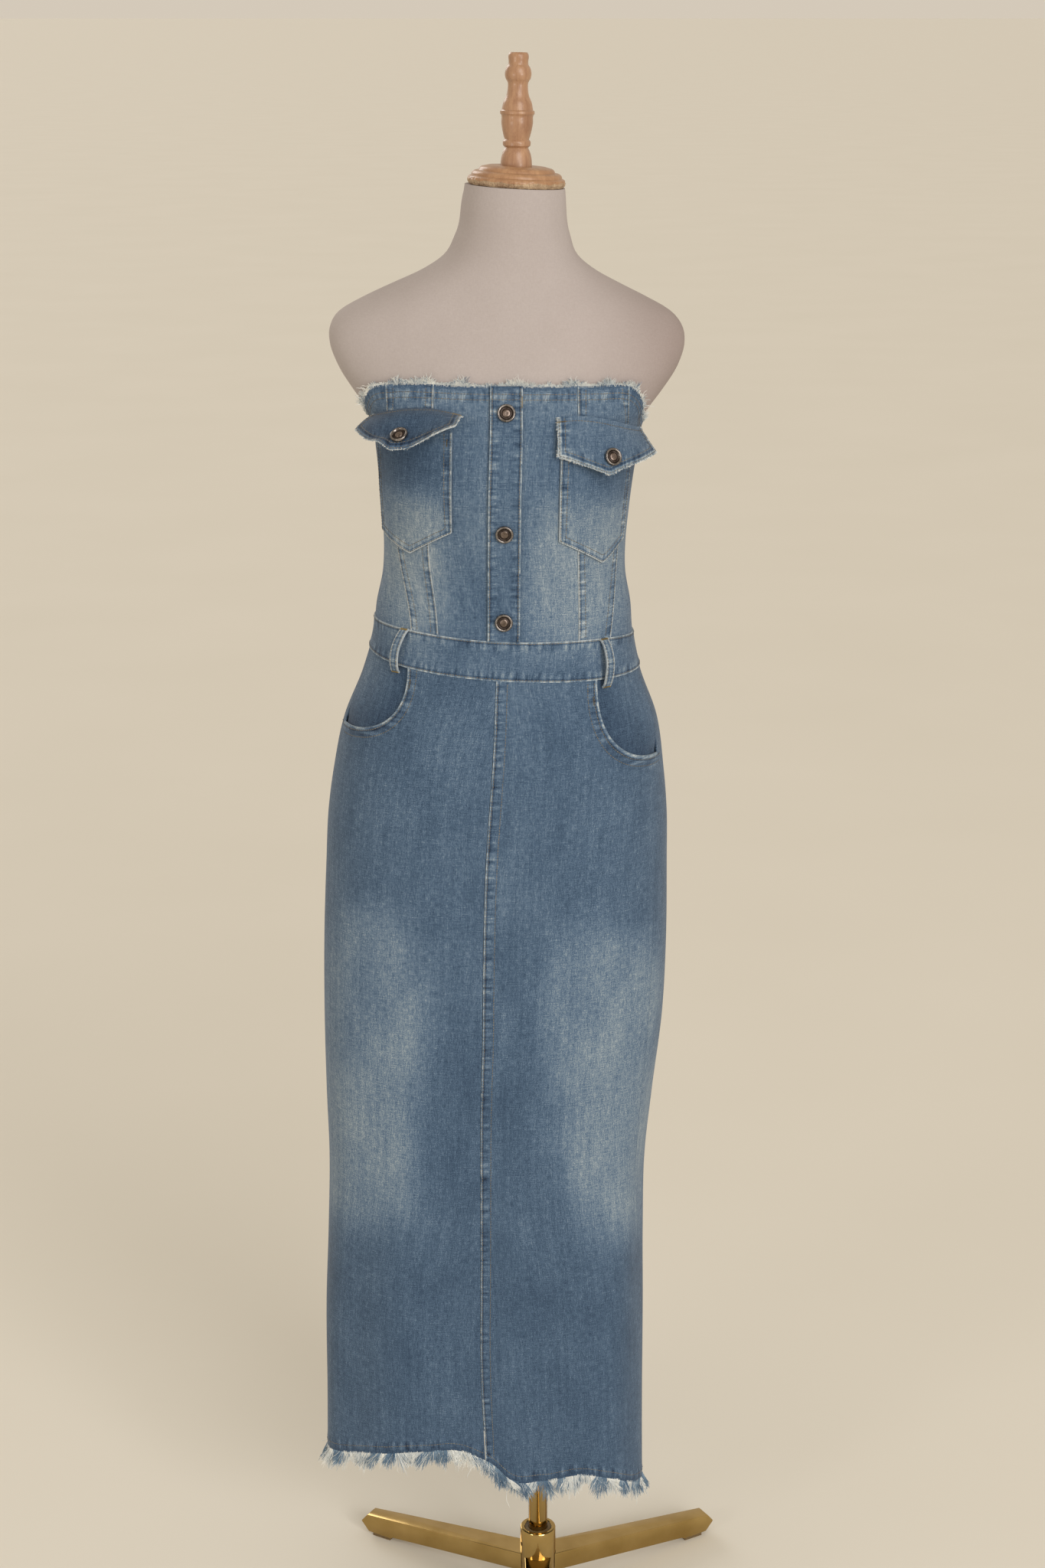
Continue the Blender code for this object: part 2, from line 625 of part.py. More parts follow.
def form_torso():
    """The torso inside the cloth and the bare shoulders and neck above it, flat at both ends."""
    rings = [(FORM_FOOT + rise, inset) for rise, inset in FORM_ENDS]
    rings += [(section.height, 0.0) for section in SECTIONS if rings[-1][0] < section.height < NECK_TOP]
    rings.append((NECK_TOP, 0.0))

    def place(u, v):
        height, inset = rings[round(v * (len(rings) - 1))]
        ease = section_at(height)[5]
        point = skin(u, height, -WALL - ease - inset)
        if height == NECK_TOP:
            point.z -= (point.x - STAND_X - CAP_X) * math.tan(CAP_TILT)
        else:
            point.z = height
        return point

    bm = bmesh.new()
    bmesh.ops.create_grid(bm, x_segments=FORM_COLUMNS, y_segments=len(rings) - 1, size=0.5)
    for vertex in bm.verts:
        vertex.co = place(vertex.co.x + 0.5, vertex.co.y + 0.5)
    bmesh.ops.remove_doubles(bm, verts=bm.verts, dist=0.00001)
    bmesh.ops.holes_fill(bm, edges=[edge for edge in bm.edges if edge.is_boundary], sides=0)
    bmesh.ops.recalc_face_normals(bm, faces=bm.faces)
    torso = add_object("form_torso", finish_mesh("form_torso", bm), "form_cover")

    bm = bmesh.new()
    bmesh.ops.create_cone(
        bm, cap_ends=True, segments=24, radius1=POLE_RADIUS + GAP, radius2=POLE_RADIUS + GAP,
        depth=2 * SOCKET_DEPTH, matrix=Matrix.Translation((STAND_X, STAND_Y, FORM_FOOT)),
    )
    cut(torso, add_cutter("pole_socket", finish_mesh("pole_socket", bm)))


def neck_cap_and_finial():
    cap = turned("neck_cap", CAP_PROFILE, "turned_wood", 24)
    cap.location = (STAND_X + CAP_X, STAND_Y, NECK_TOP + GAP)
    cap.rotation_euler.y = CAP_TILT
    finial = turned("finial", FINIAL_PROFILE, "turned_wood", 16)
    finial.location = (STAND_X + CAP_X, STAND_Y, FINIAL_FOOT)
    finial.rotation_euler.y = FINIAL_TILT


# ---------------------------------------------------------------- stand


def rod(name, finish, radius, length, place, segments=24):
    """A round rod whose own Z runs along its length from its foot."""
    bm = bmesh.new()
    bmesh.ops.create_cone(
        bm, cap_ends=True, segments=segments, radius1=radius, radius2=radius, depth=length,
        matrix=Matrix.Translation((0.0, 0.0, length / 2)),
    )
    item = add_object(name, finish_mesh(name, bm), finish)
    item.location = place
    return item


def pole_and_hub():
    top = FORM_FOOT + SOCKET_DEPTH - 2 * GAP
    rod("pole", "polished_brass", POLE_RADIUS, top - POLE_FOOT, (STAND_X, STAND_Y, POLE_FOOT))
    bore, chamfer = POLE_RADIUS + GAP, 0.0012
    hub_profile = (
        (0.0, HUB_FLOOR), (bore, HUB_FLOOR), (bore, BUSHING_FOOT), (BUSHING_RADIUS, BUSHING_FOOT),
        (BUSHING_RADIUS, HUB_TOP), (HUB_RADIUS - chamfer, HUB_TOP), (HUB_RADIUS, HUB_TOP - chamfer),
        (HUB_RADIUS, HUB_FOOT + chamfer), (HUB_RADIUS - chamfer, HUB_FOOT), (0.0, HUB_FOOT),
    )
    hub = turned("hub", hub_profile, "polished_brass", 32)
    hub.location = (STAND_X, STAND_Y, 0.0)

    inner, outer = bore, BUSHING_RADIUS - GAP
    bushing_profile = (
        (inner, BUSHING_TOP), (outer, BUSHING_TOP), (outer, BUSHING_FOOT + GAP), (inner, BUSHING_FOOT + GAP),
        (inner, BUSHING_TOP),
    )
    bushing = turned("pole_bushing", bushing_profile, "dark_nylon", 24)
    bushing.location = (STAND_X, STAND_Y, 0.0)

    outward = Vector((math.cos(SCREW_BEARING), math.sin(SCREW_BEARING), 0.0))
    centre = Vector((STAND_X, STAND_Y, SCREW_HEIGHT))
    hole_floor = HUB_RADIUS - SCREW_HOLE_DEPTH
    bm = bmesh.new()
    bmesh.ops.create_cone(
        bm, cap_ends=True, segments=14, radius1=SCREW_RADIUS + GAP, radius2=SCREW_RADIUS + GAP,
        depth=2 * SCREW_HOLE_DEPTH, matrix=Matrix.Translation((0.0, 0.0, SCREW_HOLE_DEPTH)),
    )
    hole = add_cutter("screw_hole", finish_mesh("screw_hole", bm))
    stand_on(hole, centre, outward, hole_floor)
    cut(hub, hole)
    screw = rod("hub_set_screw", "screw_steel", SCREW_RADIUS, SCREW_LENGTH, centre, 12)
    stand_on(screw, centre, outward, hole_floor + GAP)


def prism(name, outline, width, finish):
    """An outline in the XZ plane, given a width along Y."""
    bm = bmesh.new()
    face = bm.faces.new([bm.verts.new((x, -width / 2, z)) for x, z in outline])
    grown = bmesh.ops.extrude_face_region(bm, geom=[face])
    moved = [item for item in grown["geom"] if isinstance(item, bmesh.types.BMVert)]
    bmesh.ops.translate(bm, verts=moved, vec=(0.0, width, 0.0))
    bmesh.ops.recalc_face_normals(bm, faces=bm.faces)
    return add_object(name, finish_mesh(name, bm), finish)


def legs():
    bm = bmesh.new()
    bmesh.ops.create_cone(
        bm, cap_ends=True, segments=32, radius1=HUB_RADIUS + GAP, radius2=HUB_RADIUS + GAP, depth=0.20,
        matrix=Matrix.Translation((STAND_X, STAND_Y, 0.05)),
    )
    around_hub = add_cutter("around_hub", finish_mesh("around_hub", bm))
    reach = LEG_OUTLINE[4][0]
    pad_outline = ((PAD_FROM, 0.0), (PAD_TO, 0.0), (PAD_TO, PAD_HEIGHT), (PAD_FROM, PAD_HEIGHT))
    for side, bearing in LEG_BEARINGS.items():
        leg = prism(f"leg_{side}", LEG_OUTLINE, LEG_ROOT_WIDTH, "polished_brass")
        for vertex in leg.data.vertices:
            share = vertex.co.x / reach
            vertex.co.y *= 1 + (LEG_TIP_WIDTH / LEG_ROOT_WIDTH - 1) * share
        pad = prism(f"foot_pad_{side}", pad_outline, PAD_WIDTH, "dark_nylon")
        for item in (leg, pad):
            item.location = (STAND_X, STAND_Y, 0.0)
            item.rotation_euler.z = math.radians(bearing)
        cut(leg, around_hub)


# ---------------------------------------------------------------- the whole object

form_torso()
neck_cap_and_finial()
pole_and_hub()
legs()
bodice()
placket()
waistband()
skirt()
for side in ("left", "right"):
    chest_pocket(side)
    pocket_flap(side)
    belt_loop(side)
    hip_facing(side)
buttons()
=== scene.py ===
# %% [markdown]
# # A strapless denim dress on a dress form
#
# The object is a long strapless dress of washed blue denim. It stands on a limbless form with a turned
# wooden cap and finial, held up by a gold-plated pole on three legs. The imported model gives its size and
# place; this script builds what the eye sees, in the same frame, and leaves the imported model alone.

import math
import random
from collections import namedtuple

import bmesh
import bpy
import numpy as np
from mathutils import Matrix, Vector
from mathutils.noise import noise as fine_noise


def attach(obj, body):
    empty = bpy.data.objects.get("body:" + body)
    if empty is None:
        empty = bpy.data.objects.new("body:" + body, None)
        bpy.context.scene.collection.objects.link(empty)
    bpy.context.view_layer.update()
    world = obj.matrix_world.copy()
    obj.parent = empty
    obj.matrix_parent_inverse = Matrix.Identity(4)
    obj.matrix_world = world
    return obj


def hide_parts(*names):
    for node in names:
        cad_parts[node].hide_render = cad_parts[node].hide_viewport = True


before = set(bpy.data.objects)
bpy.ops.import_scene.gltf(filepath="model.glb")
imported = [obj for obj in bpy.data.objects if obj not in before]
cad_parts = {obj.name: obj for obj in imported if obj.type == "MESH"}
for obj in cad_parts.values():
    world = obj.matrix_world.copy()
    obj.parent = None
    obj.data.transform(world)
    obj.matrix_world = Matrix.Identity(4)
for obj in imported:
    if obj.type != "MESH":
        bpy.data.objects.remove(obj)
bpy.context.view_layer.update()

# %% [markdown]
# ## Colours and nodes
#
# A colour is given as an sRGB hex value, and Blender's nodes want linear light, so one function
# turns the one into the other. A finish is a graph of nodes. It could be drawn by hand in the editor, but
# one function that adds a node with its settings and inputs lets each finish be read as a short recipe.

# %% Colour and node helpers
def linear(hex_colour):
    values = [int(hex_colour[i : i + 2], 16) / 255 for i in (1, 3, 5)]
    return (*(v / 12.92 if v <= 0.04045 else ((v + 0.055) / 1.055) ** 2.4 for v in values), 1.0)


def feed(tree, node, *ordered, **named):
    """Sets or links a node's inputs, in order or by name. Another node stands for its first output."""
    for key, value in (*enumerate(ordered), *named.items()):
        socket = node.inputs[key if isinstance(key, int) else key.replace("_", " ")]
        if isinstance(value, bpy.types.Node):
            value = value.outputs[0]
        if isinstance(value, bpy.types.NodeSocket):
            tree.links.new(value, socket)
        else:
            socket.default_value = value
    return node


def add(tree, kind, *ordered, **named):
    """Adds a node. Names in small letters are its settings, and the others are its inputs."""
    node = tree.nodes.new("ShaderNode" + kind)
    for name in [name for name in named if name.islower()]:
        setattr(node, name, named.pop(name))
    return feed(tree, node, *ordered, **named)


def new_material(name, **finish):
    material = bpy.data.materials.new(name)
    material.use_nodes = True
    tree = material.node_tree
    return material, tree, feed(tree, tree.nodes["Principled BSDF"], **finish)


# %% Helpers: patterns and colour
def uneven(tree, vector, per_metre, detail=2.0, roughness=0.5):
    """Unevenness round 0. per_metre says how many of its grains fit in a metre, each way."""
    stretched = add(tree, "VectorMath", vector, per_metre, operation="MULTIPLY")
    texture = add(tree, "TexNoise", Vector=stretched, Scale=1.0, Detail=detail, Roughness=roughness)
    return add(tree, "Math", texture, 0.5, operation="SUBTRACT")


def sum_up(tree, base, *parts):
    """A base and so much of each pattern, where a part is (pattern, amount)."""
    for pattern, amount in parts:
        base = add(tree, "Math", pattern, amount, base, operation="MULTIPLY_ADD")
    return base


def colour(tree, shader, tone, stops):
    """Colours a finish by its tone, where a stop is (tone, hex colour)."""
    ramp = add(tree, "ValToRGB", tone)
    elements = ramp.color_ramp.elements
    while len(elements) < len(stops):
        elements.new(0.5)
    for element, (place, hex_colour) in zip(elements, stops):
        element.position = place
        element.color = linear(hex_colour)
    feed(tree, shader, Base_Color=ramp)
    return ramp


def emboss(tree, shader, relief):
    """Lets the light see a relief that is given in metres."""
    feed(tree, shader, Normal=add(tree, "Bump", Strength=1.0, Distance=1.0, Height=relief))


print("sample:", [round(v, 3) for v in linear("#5B7691")])

# %% [markdown]
# ## Washed denim
#
# Denim is a twill: blue warp threads run up the cloth and pass over two white weft threads at a time,
# which leaves fine diagonal lines. Washing fades the warp unevenly, so the eye sees pale upright
# streaks, soft clouds, and worn white lines along every folded edge. Between the two rows of
# topstitching the cloth puckers, and the tops of the puckers fade too.
#
# A scan of real denim could show all this, but would repeat over so long a dress, so noise patterns draw it.
# Each cloth piece brings three maps of its own. "weave" is the place on the flat cloth in metres,
# "folds" is how far the nearest folded edge is, beside and above or below, and the third map is how
# pale or dark the washed cloth is there, with painted shade added in places. The real threads are
# 0.4 mm apart, finer than the render can show, so the streaks are drawn about 1 mm wide.

# %% Material: washed denim
DENIM_STOPS = (
    (0.00, "#152335"), (0.22, "#2A3E57"), (0.38, "#3A4F66"), (0.50, "#455B74"), (0.63, "#5A6F86"),
    (0.76, "#728392"), (0.88, "#8B98A1"), (1.00, "#AAB3B9"),
)
REVERSE_STOPS = ((0.0, "#5F748A"), (0.3, "#8596A5"), (0.6, "#A3AFB8"), (0.8, "#B7BFC4"), (1.0, "#CFD3D3"))
TWILL_STEP = 0.0016
PUCKERED_TO, FLAT_FROM = 0.0065, 0.0120  # distances from a folded edge
WORN_TO, BLUE_FROM = 0.0004, 0.0019
DARK_LINE, DARK_HALF, DARK_SOFT = 0.0028, 0.0003, 0.0012  # the shadow between a worn rim and its stitches


def denim(name, stops):
    material, tree, shader = new_material(
        name, Roughness=0.88, Specular_IOR_Level=0.25, Sheen_Weight=0.12, Sheen_Roughness=0.5)
    weave, folds, wash_and_shade = (add(tree, "UVMap", uv_map=which) for which in ("weave", "folds", "wash_and_shade"))
    weft_way, warp_way = add(tree, "SeparateXYZ", weave).outputs[:2]
    beside, above = add(tree, "SeparateXYZ", folds).outputs[:2]
    fade_and_shade = add(tree, "SeparateXYZ", wash_and_shade)

    streaks = uneven(tree, weave, (760.0, 130.0, 1.0), 3.0, 0.6)  # 1.3 x 8 mm, faded warp threads
    slubs = uneven(tree, weave, (210.0, 13.0, 1.0))  # 5 x 77 mm, thicker stretches of yarn
    weft = uneven(tree, weave, (90.0, 800.0, 1.0))  # 11 x 1.2 mm
    specks = uneven(tree, weave, (1000.0, 800.0, 1.0), 2.0, 0.7)  # 1 mm, where the weft peeps through
    clouds = uneven(tree, weave, (16.0, 11.0, 1.0), 4.0, 0.55)  # 6 to 9 cm, from the wash
    slant = add(tree, "Math", weft_way, warp_way, operation="SUBTRACT")
    slant = add(tree, "Math", slant, math.tau / TWILL_STEP, operation="MULTIPLY")
    twill = add(tree, "Math", slant, operation="SINE")

    falling = {"interpolation_type": "SMOOTHSTEP", "To_Min": 1.0, "To_Max": 0.0}
    puckers = 0.0
    for distance, waves in ((beside, (30.0, 215.0, 1.0)), (above, (190.0, 30.0, 1.0))):  # 5 mm apart
        near = add(tree, "MapRange", distance, PUCKERED_TO, FLAT_FROM, **falling)
        puckers = add(tree, "Math", uneven(tree, weave, waves), near, puckers, operation="MULTIPLY_ADD")
    nearest = add(tree, "Math", beside, above, operation="MINIMUM")
    rim = add(tree, "MapRange", sum_up(tree, nearest, (specks, 0.0012)), WORN_TO, BLUE_FROM, **falling)
    patchy = sum_up(tree, 0.85, (uneven(tree, weave, (120.0, 120.0, 1.0)), 1.3))  # 8 mm
    worn = add(tree, "Math", rim, patchy, operation="MULTIPLY")
    off_line = add(tree, "Math", nearest, DARK_LINE, operation="SUBTRACT")
    off_line = add(tree, "Math", off_line, operation="ABSOLUTE")
    dark_line = add(tree, "MapRange", off_line, DARK_HALF, DARK_SOFT, **falling)

    shade = sum_up(tree, 0.49, (fade_and_shade, 0.30), (streaks, 0.62), (slubs, 0.24), (weft, 0.34), (specks, 0.90),
                   (clouds, 0.34), (puckers, 1.10), (twill, 0.04), (worn, 0.36), (dark_line, -0.19))
    colour(tree, shader, shade, stops)
    emboss(tree, shader, sum_up(tree, 0.0, (streaks, 0.00016), (specks, 0.00014), (twill, 0.00004),
                                (puckers, 0.0017)))
    return material


washed_denim = denim("washed_denim_twill", DENIM_STOPS)
denim_reverse = denim("washed_denim_reverse", REVERSE_STOPS)
print("denim nodes:", len(washed_denim.node_tree.nodes))

# %% [markdown]
# ## Raw edges, loose threads and topstitching
#
# Cut denim shows its white weft at the edge, with some blue warp left in it. The frayed threads are
# the same two cottons, cream and pale blue. The topstitching is a spun polyester thread in taupe,
# matt and slightly darker where it sinks in, and the bartacks are tan. One recipe does for all of
# them: flecks of half a millimetre, and patches of a centimetre that change more.

# %% Materials: edges and threads
def thread(name, dark, light, flecks=2500.0, rough=0.9):
    material, tree, shader = new_material(name, Roughness=rough, Specular_IOR_Level=0.2)
    position = add(tree, "TexCoord").outputs["Object"]
    fleck = uneven(tree, position, (flecks, flecks, flecks * 0.4))
    patch = uneven(tree, position, (90.0, 90.0, 60.0))
    colour(tree, shader, sum_up(tree, 0.5, (patch, 1.4), (fleck, 0.8)), ((0.15, dark), (0.85, light)))
    return material


raw_edge = thread("raw_denim_edge", "#75879A", "#C3C8C8")
cream_cotton = thread("undyed_cotton_weft", "#B4BEC4", "#EEEDE6")
blue_cotton = thread("faded_cotton_warp", "#47637F", "#8AA0B2")
taupe_thread = thread("taupe_spun_polyester", "#545452", "#857F73", 1500.0, 0.75)
tan_thread = thread("tan_spun_polyester", "#84703F", "#B39A5E", 1500.0, 0.75)
print("thread materials: 5")

# %% [markdown]
# ## The cloth's face
#
# The whole dress hangs on one imagined surface: level sections of the body, each a rounded oval,
# stacked by height. A place on it is a turn round the body (0 at the left side, a quarter in front,
# a half at the right side, three quarters behind) and a height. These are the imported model's own
# tables, so every piece lands where its node is. A soft swell is added below the hips, where the skirt
# hangs free and folds a little.

# %% Tables of the cloth's face
WALL, DOUBLE_WALL, GAP, OVERLAY = 0.0012, 0.0020, 0.0003, 0.0009
STAND_X, STAND_Y = 0.0138, 0.0564  # the pole
# height, lean, half width, front, back, squareness, ease of the form inside
SECTIONS = (
    (0.140, -0.0606, 0.1815, 0.075, 0.084, 2.30, 0.0020), (0.259, -0.0606, 0.1800, 0.081, 0.088, 2.30, 0.0020),
    (0.374, -0.0605, 0.1793, 0.088, 0.094, 2.30, 0.0020), (0.466, -0.0590, 0.1765, 0.093, 0.098, 2.30, 0.0020),
    (0.555, -0.0572, 0.1755, 0.097, 0.102, 2.30, 0.0020), (0.630, -0.0545, 0.1796, 0.100, 0.106, 2.30, 0.0020),
    (0.730, -0.0495, 0.1850, 0.104, 0.111, 2.30, 0.0020), (0.810, -0.0475, 0.1855, 0.107, 0.116, 2.30, 0.0024),
    (0.900, -0.0458, 0.1830, 0.110, 0.121, 2.25, 0.0018), (0.960, -0.0445, 0.1805, 0.111, 0.122, 2.20, 0.0018),
    (1.006, -0.0432, 0.1750, 0.110, 0.119, 2.20, 0.0046), (1.060, -0.0412, 0.1651, 0.106, 0.110, 2.15, 0.0052),
    (1.110, -0.0400, 0.1460, 0.099, 0.097, 2.10, 0.0050), (1.153, -0.0385, 0.1355, 0.094, 0.086, 2.10, 0.0042),
    (1.183, -0.0378, 0.1325, 0.092, 0.080, 2.10, 0.0018), (1.216, -0.0372, 0.1262, 0.094, 0.078, 2.10, 0.0015),
    (1.247, -0.0365, 0.1253, 0.099, 0.079, 2.10, 0.0015), (1.280, -0.0358, 0.1275, 0.105, 0.082, 2.10, 0.0015),
    (1.311, -0.0352, 0.1304, 0.110, 0.085, 2.20, 0.0015), (1.345, -0.0340, 0.1345, 0.109, 0.086, 2.20, 0.0018),
    (1.375, -0.0331, 0.1400, 0.103, 0.087, 2.30, 0.0030), (1.388, -0.0330, 0.1485, 0.100, 0.087, 2.40, 0.0034),
    (1.407, -0.0329, 0.1623, 0.093, 0.087, 2.50, 0.0032), (1.432, -0.0328, 0.1772, 0.085, 0.086, 2.60, 0.0026),
    (1.453, -0.0336, 0.1825, 0.079, 0.084, 2.50, 0.0012), (1.466, -0.0345, 0.1815, 0.075, 0.082, 2.40, 0.0012),
    (1.483, -0.0360, 0.1690, 0.071, 0.079, 2.20, 0.0012), (1.496, -0.0360, 0.1460, 0.068, 0.076, 2.10, 0.0012),
    (1.509, -0.0350, 0.1190, 0.065, 0.073, 2.00, 0.0012), (1.522, -0.0325, 0.0920, 0.063, 0.070, 2.00, 0.0012),
    (1.534, -0.0305, 0.0740, 0.062, 0.068, 2.00, 0.0012), (1.559, -0.0280, 0.0600, 0.058, 0.062, 2.00, 0.0012),
    (1.597, -0.0264, 0.0540, 0.053, 0.055, 2.00, 0.0012), (1.612, -0.0250, 0.0515, 0.051, 0.052, 2.00, 0.0012),
)
TOP_EDGE = (  # turn, height of the raw top edge
    (-0.1, 1.368), (0.0, 1.376), (0.042, 1.388), (0.08, 1.403), (0.115, 1.415), (0.15, 1.419),
    (0.25, 1.418), (0.32, 1.418), (0.36, 1.417), (0.40, 1.403), (0.436, 1.384), (0.5, 1.372),
    (0.6, 1.366), (0.75, 1.364), (0.9, 1.368), (1.0, 1.376), (1.1, 1.40),
)
WAIST_SEAM = (
    (-0.2, 1.158), (0.0, 1.169), (0.12, 1.1675), (0.25, 1.1605), (0.38, 1.1575), (0.5, 1.152),
    (0.75, 1.158), (1.0, 1.169), (1.12, 1.1675),
)
BAND_SEAM = (
    (-0.2, 1.124), (0.0, 1.1365), (0.13, 1.1285), (0.25, 1.1203), (0.38, 1.1155), (0.5, 1.116),
    (0.75, 1.118), (1.0, 1.1365), (1.13, 1.1285),
)
HEM = (
    (-0.1, 0.187), (0.0, 0.1935), (0.075, 0.2014), (0.145, 0.2143), (0.20, 0.2233), (0.240, 0.2225),
    (0.2565, 0.2074), (0.2665, 0.1915), (0.30, 0.1835), (0.346, 0.1868), (0.382, 0.1774),
    (0.434, 0.1600), (0.5, 0.1524), (0.6, 0.158), (0.75, 0.170), (0.9, 0.187), (1.0, 0.1935),
    (1.1, 0.206),
)
SIDE_SEAMS = (  # height, turn of the left and of the right side seam
    (0.14, 0.010, 0.490), (0.45, 0.020, 0.465), (0.55, 0.040, 0.440), (0.70, 0.045, 0.425),
    (0.92, 0.040, 0.435), (1.03, 0.030, 0.455), (1.15, 0.020, 0.480), (1.25, 0.010, 0.490),
    (1.43, 0.005, 0.495),
)
BODICE_SEAMS = (  # height, way sideways of: outer left, inner left, centre, inner right, outer right
    (1.15, -0.0925, -0.0645, 0.0014, 0.0775, 0.1105), (1.18, -0.0955, -0.0665, 0.0010, 0.0768, 0.1130),
    (1.25, -0.1090, -0.0755, 0.0002, 0.0741, 0.1160), (1.32, -0.1165, -0.0745, -0.0004, 0.0715, 0.1190),
    (1.43, -0.1220, -0.0726, -0.0010, 0.0690, 0.1215),
)
SKIRT_SEAM = (
    (0.14, 0.0040), (0.22, 0.0010), (0.32, -0.0032), (0.42, -0.0042), (0.53, -0.0057),
    (0.69, -0.0101), (0.83, -0.0118), (0.92, -0.0108), (1.03, -0.0065), (1.13, -0.0050),
)
PLACKET_HALF_WIDTH = 0.0163

print(len(SECTIONS), "level sections")


# %% Curves through the tables
def eased(t, start, leave, end, arrive):
    """A smooth way from start to end, with the slopes that it leaves and arrives at."""
    return (start * (2 * t**3 - 3 * t**2 + 1) + leave * (t**3 - 2 * t**2 + t)
            + end * (3 * t**2 - 2 * t**3) + arrive * (t**3 - t**2))


def smooth_curve(rows):
    """A smooth curve through a table: places go in as an array, each other column comes out as one."""
    table = np.array(rows, dtype=float)
    places, values = table[:, 0], table[:, 1:]
    slopes = np.gradient(values, places, axis=0)

    def at(place):
        place = np.asarray(place, dtype=float)
        row = np.clip(np.searchsorted(places, place) - 1, 0, len(places) - 2)
        span = places[row + 1] - places[row]
        t = np.clip((place - places[row]) / span, 0.0, 1.0)[..., None]
        leave, arrive = slopes[row] * span[..., None], slopes[row + 1] * span[..., None]
        return eased(t, values[row], leave, values[row + 1], arrive)

    return at


def column(rows, index=0, extra=0.0):
    curve = smooth_curve(rows)
    return lambda place: curve(place)[..., index] + extra


section_at = smooth_curve(SECTIONS)
top_edge, waist_seam, band_seam, hem = (column(rows) for rows in (TOP_EDGE, WAIST_SEAM, BAND_SEAM, HEM))
left_side, right_side = column(SIDE_SEAMS, 0), column(SIDE_SEAMS, 1)
left_side_again = column(SIDE_SEAMS, 0, 1.0)  # once round the body, where the back ends
print("hem at the front centre:", round(float(hem(0.25)), 3), "m")

# %% Places on the face
SWELL, SWELL_TOP, SWELL_RISE = 0.0016, 0.95, 0.5  # its size, where it starts, and over what height it grows


def face_point(turn, height):
    lean, half_width, front, back, squareness, _ = np.moveaxis(section_at(height), -1, 0)
    angle = math.tau * np.asarray(turn, dtype=float)
    power = 2 / squareness
    across = np.sign(np.cos(angle)) * np.abs(np.cos(angle)) ** power
    ahead = np.sign(np.sin(angle)) * np.abs(np.sin(angle)) ** power
    depth = np.where(ahead > 0, front, back)
    grown = SWELL * np.clip((SWELL_TOP - height) / SWELL_RISE, 0.0, 1.0)
    swell = grown * (np.sin(angle * 5 + 0.9 + height * 3.0) + 0.7 * np.sin(angle * 9 - height * 5.0))
    x = STAND_X + lean - (half_width + swell) * across
    y = STAND_Y - (depth + swell) * ahead
    return np.stack([x, y, np.broadcast_to(height, x.shape)], axis=-1)


def unit(vectors):
    return vectors / np.maximum(np.linalg.norm(vectors, axis=-1, keepdims=True), 1e-12)


def face_normal(turn, height, step=0.002):
    around = face_point(turn + step, height) - face_point(turn - step, height)
    up = face_point(turn, height + step) - face_point(turn, height - step)
    return unit(np.cross(around, up))


def skin(turn, height, out=0.0):
    turn, height = np.broadcast_arrays(np.asarray(turn, float), np.asarray(height, float))
    return face_point(turn, height) + face_normal(turn, height) * np.asarray(out)[..., None]


def front_turn(way, height):
    """The turn of a place on the front that is so far sideways from the section's middle."""
    section = section_at(height)
    share = np.clip(-np.asarray(way) / section[..., 1], -1.0, 1.0)
    return np.arccos(np.sign(share) * np.abs(share) ** (section[..., 4] / 2)) / math.tau


def seam(rows, index=0, extra=0.0):
    way = column(rows, index, extra)
    return lambda height: front_turn(way(height), height)


# %% A patch of the face
FRONT_CENTRE = 0.25
SEAM_TURN = GAP / 2  # turns that a panel stays short of its seam, about 0.15 mm


def patch(left, right, foot, top):
    """Turns and heights between two side edges (turn by height) and two ends (height by turn)."""
    def place(u, v):
        height = np.full_like(u, (foot(FRONT_CENTRE) + top(FRONT_CENTRE)) / 2)
        for _ in range(6):  # a slanted edge's turn depends on the height, and the other way round
            start, end = left(height) + SEAM_TURN, right(height) - SEAM_TURN
            turn = start + (end - start) * u
            height = foot(turn) + (top(turn) - foot(turn)) * v
        return turn, height

    return place


print("front centre at the bust:", np.round(skin(FRONT_CENTRE, 1.31), 3))

# %% [markdown]
# ## Laying a piece of cloth
#
# A cut panel is flat, so each one starts as a flat grid, is laid on the face point by point, and gets
# its thickness from a Solidify modifier: blue face outside, paler reverse inside, raw edge round the
# rim. A cloth simulation could drape it, but this dress is tight nearly everywhere, and laying puts
# every seam where it was measured. The distances along the laid grid are the real distances on the
# cloth, and they become its maps, so the weave keeps its scale on a bent panel. Folded edges are
# lifted a little, as two layers are.

# %% How pale or dark the washed cloth is, with painted shade in places
Fade = namedtuple("Fade", "x z half_width half_height soft strength")
FADES_AND_PAINTED_SHADE = (  # on the front, in metres; strength 1 is the palest and -1 the darkest
    Fade(-0.160, 0.745, 0.058, 0.115, 0.35, 0.56), Fade(-0.182, 0.600, 0.062, 0.108, 0.30, 0.66),
    Fade(0.080, 0.745, 0.064, 0.098, 0.30, 0.64), Fade(0.100, 0.600, 0.058, 0.126, 0.32, 0.70),
    Fade(-0.114, 1.238, 0.036, 0.080, 0.55, 0.84), Fade(0.052, 1.238, 0.054, 0.090, 0.50, 0.76),
    Fade(-0.040, 1.310, 0.075, 0.070, 0.70, 0.30), Fade(-0.020, 1.395, 0.130, 0.022, 0.80, 0.25),
    # painted shadow that the pocket flaps cast on the chest pockets
    Fade(-0.122, 1.340, 0.048, 0.027, 0.60, -0.58), Fade(0.084, 1.322, 0.044, 0.022, 0.70, -0.42),
    Fade(-0.066, 0.560, 0.036, 0.170, 0.80, -0.14), Fade(-0.014, 0.610, 0.022, 0.170, 0.80, -0.14),
    # the last two spots below are painted shade inside the hip pockets' mouths
    Fade(-0.040, 0.320, 0.210, 0.180, 0.50, -0.22), Fade(0.105, 1.060, 0.030, 0.030, 0.80, -0.15),
    Fade(-0.150, 1.060, 0.030, 0.035, 0.80, -0.15),
)

SPOT_SQUARENESS = 2.6


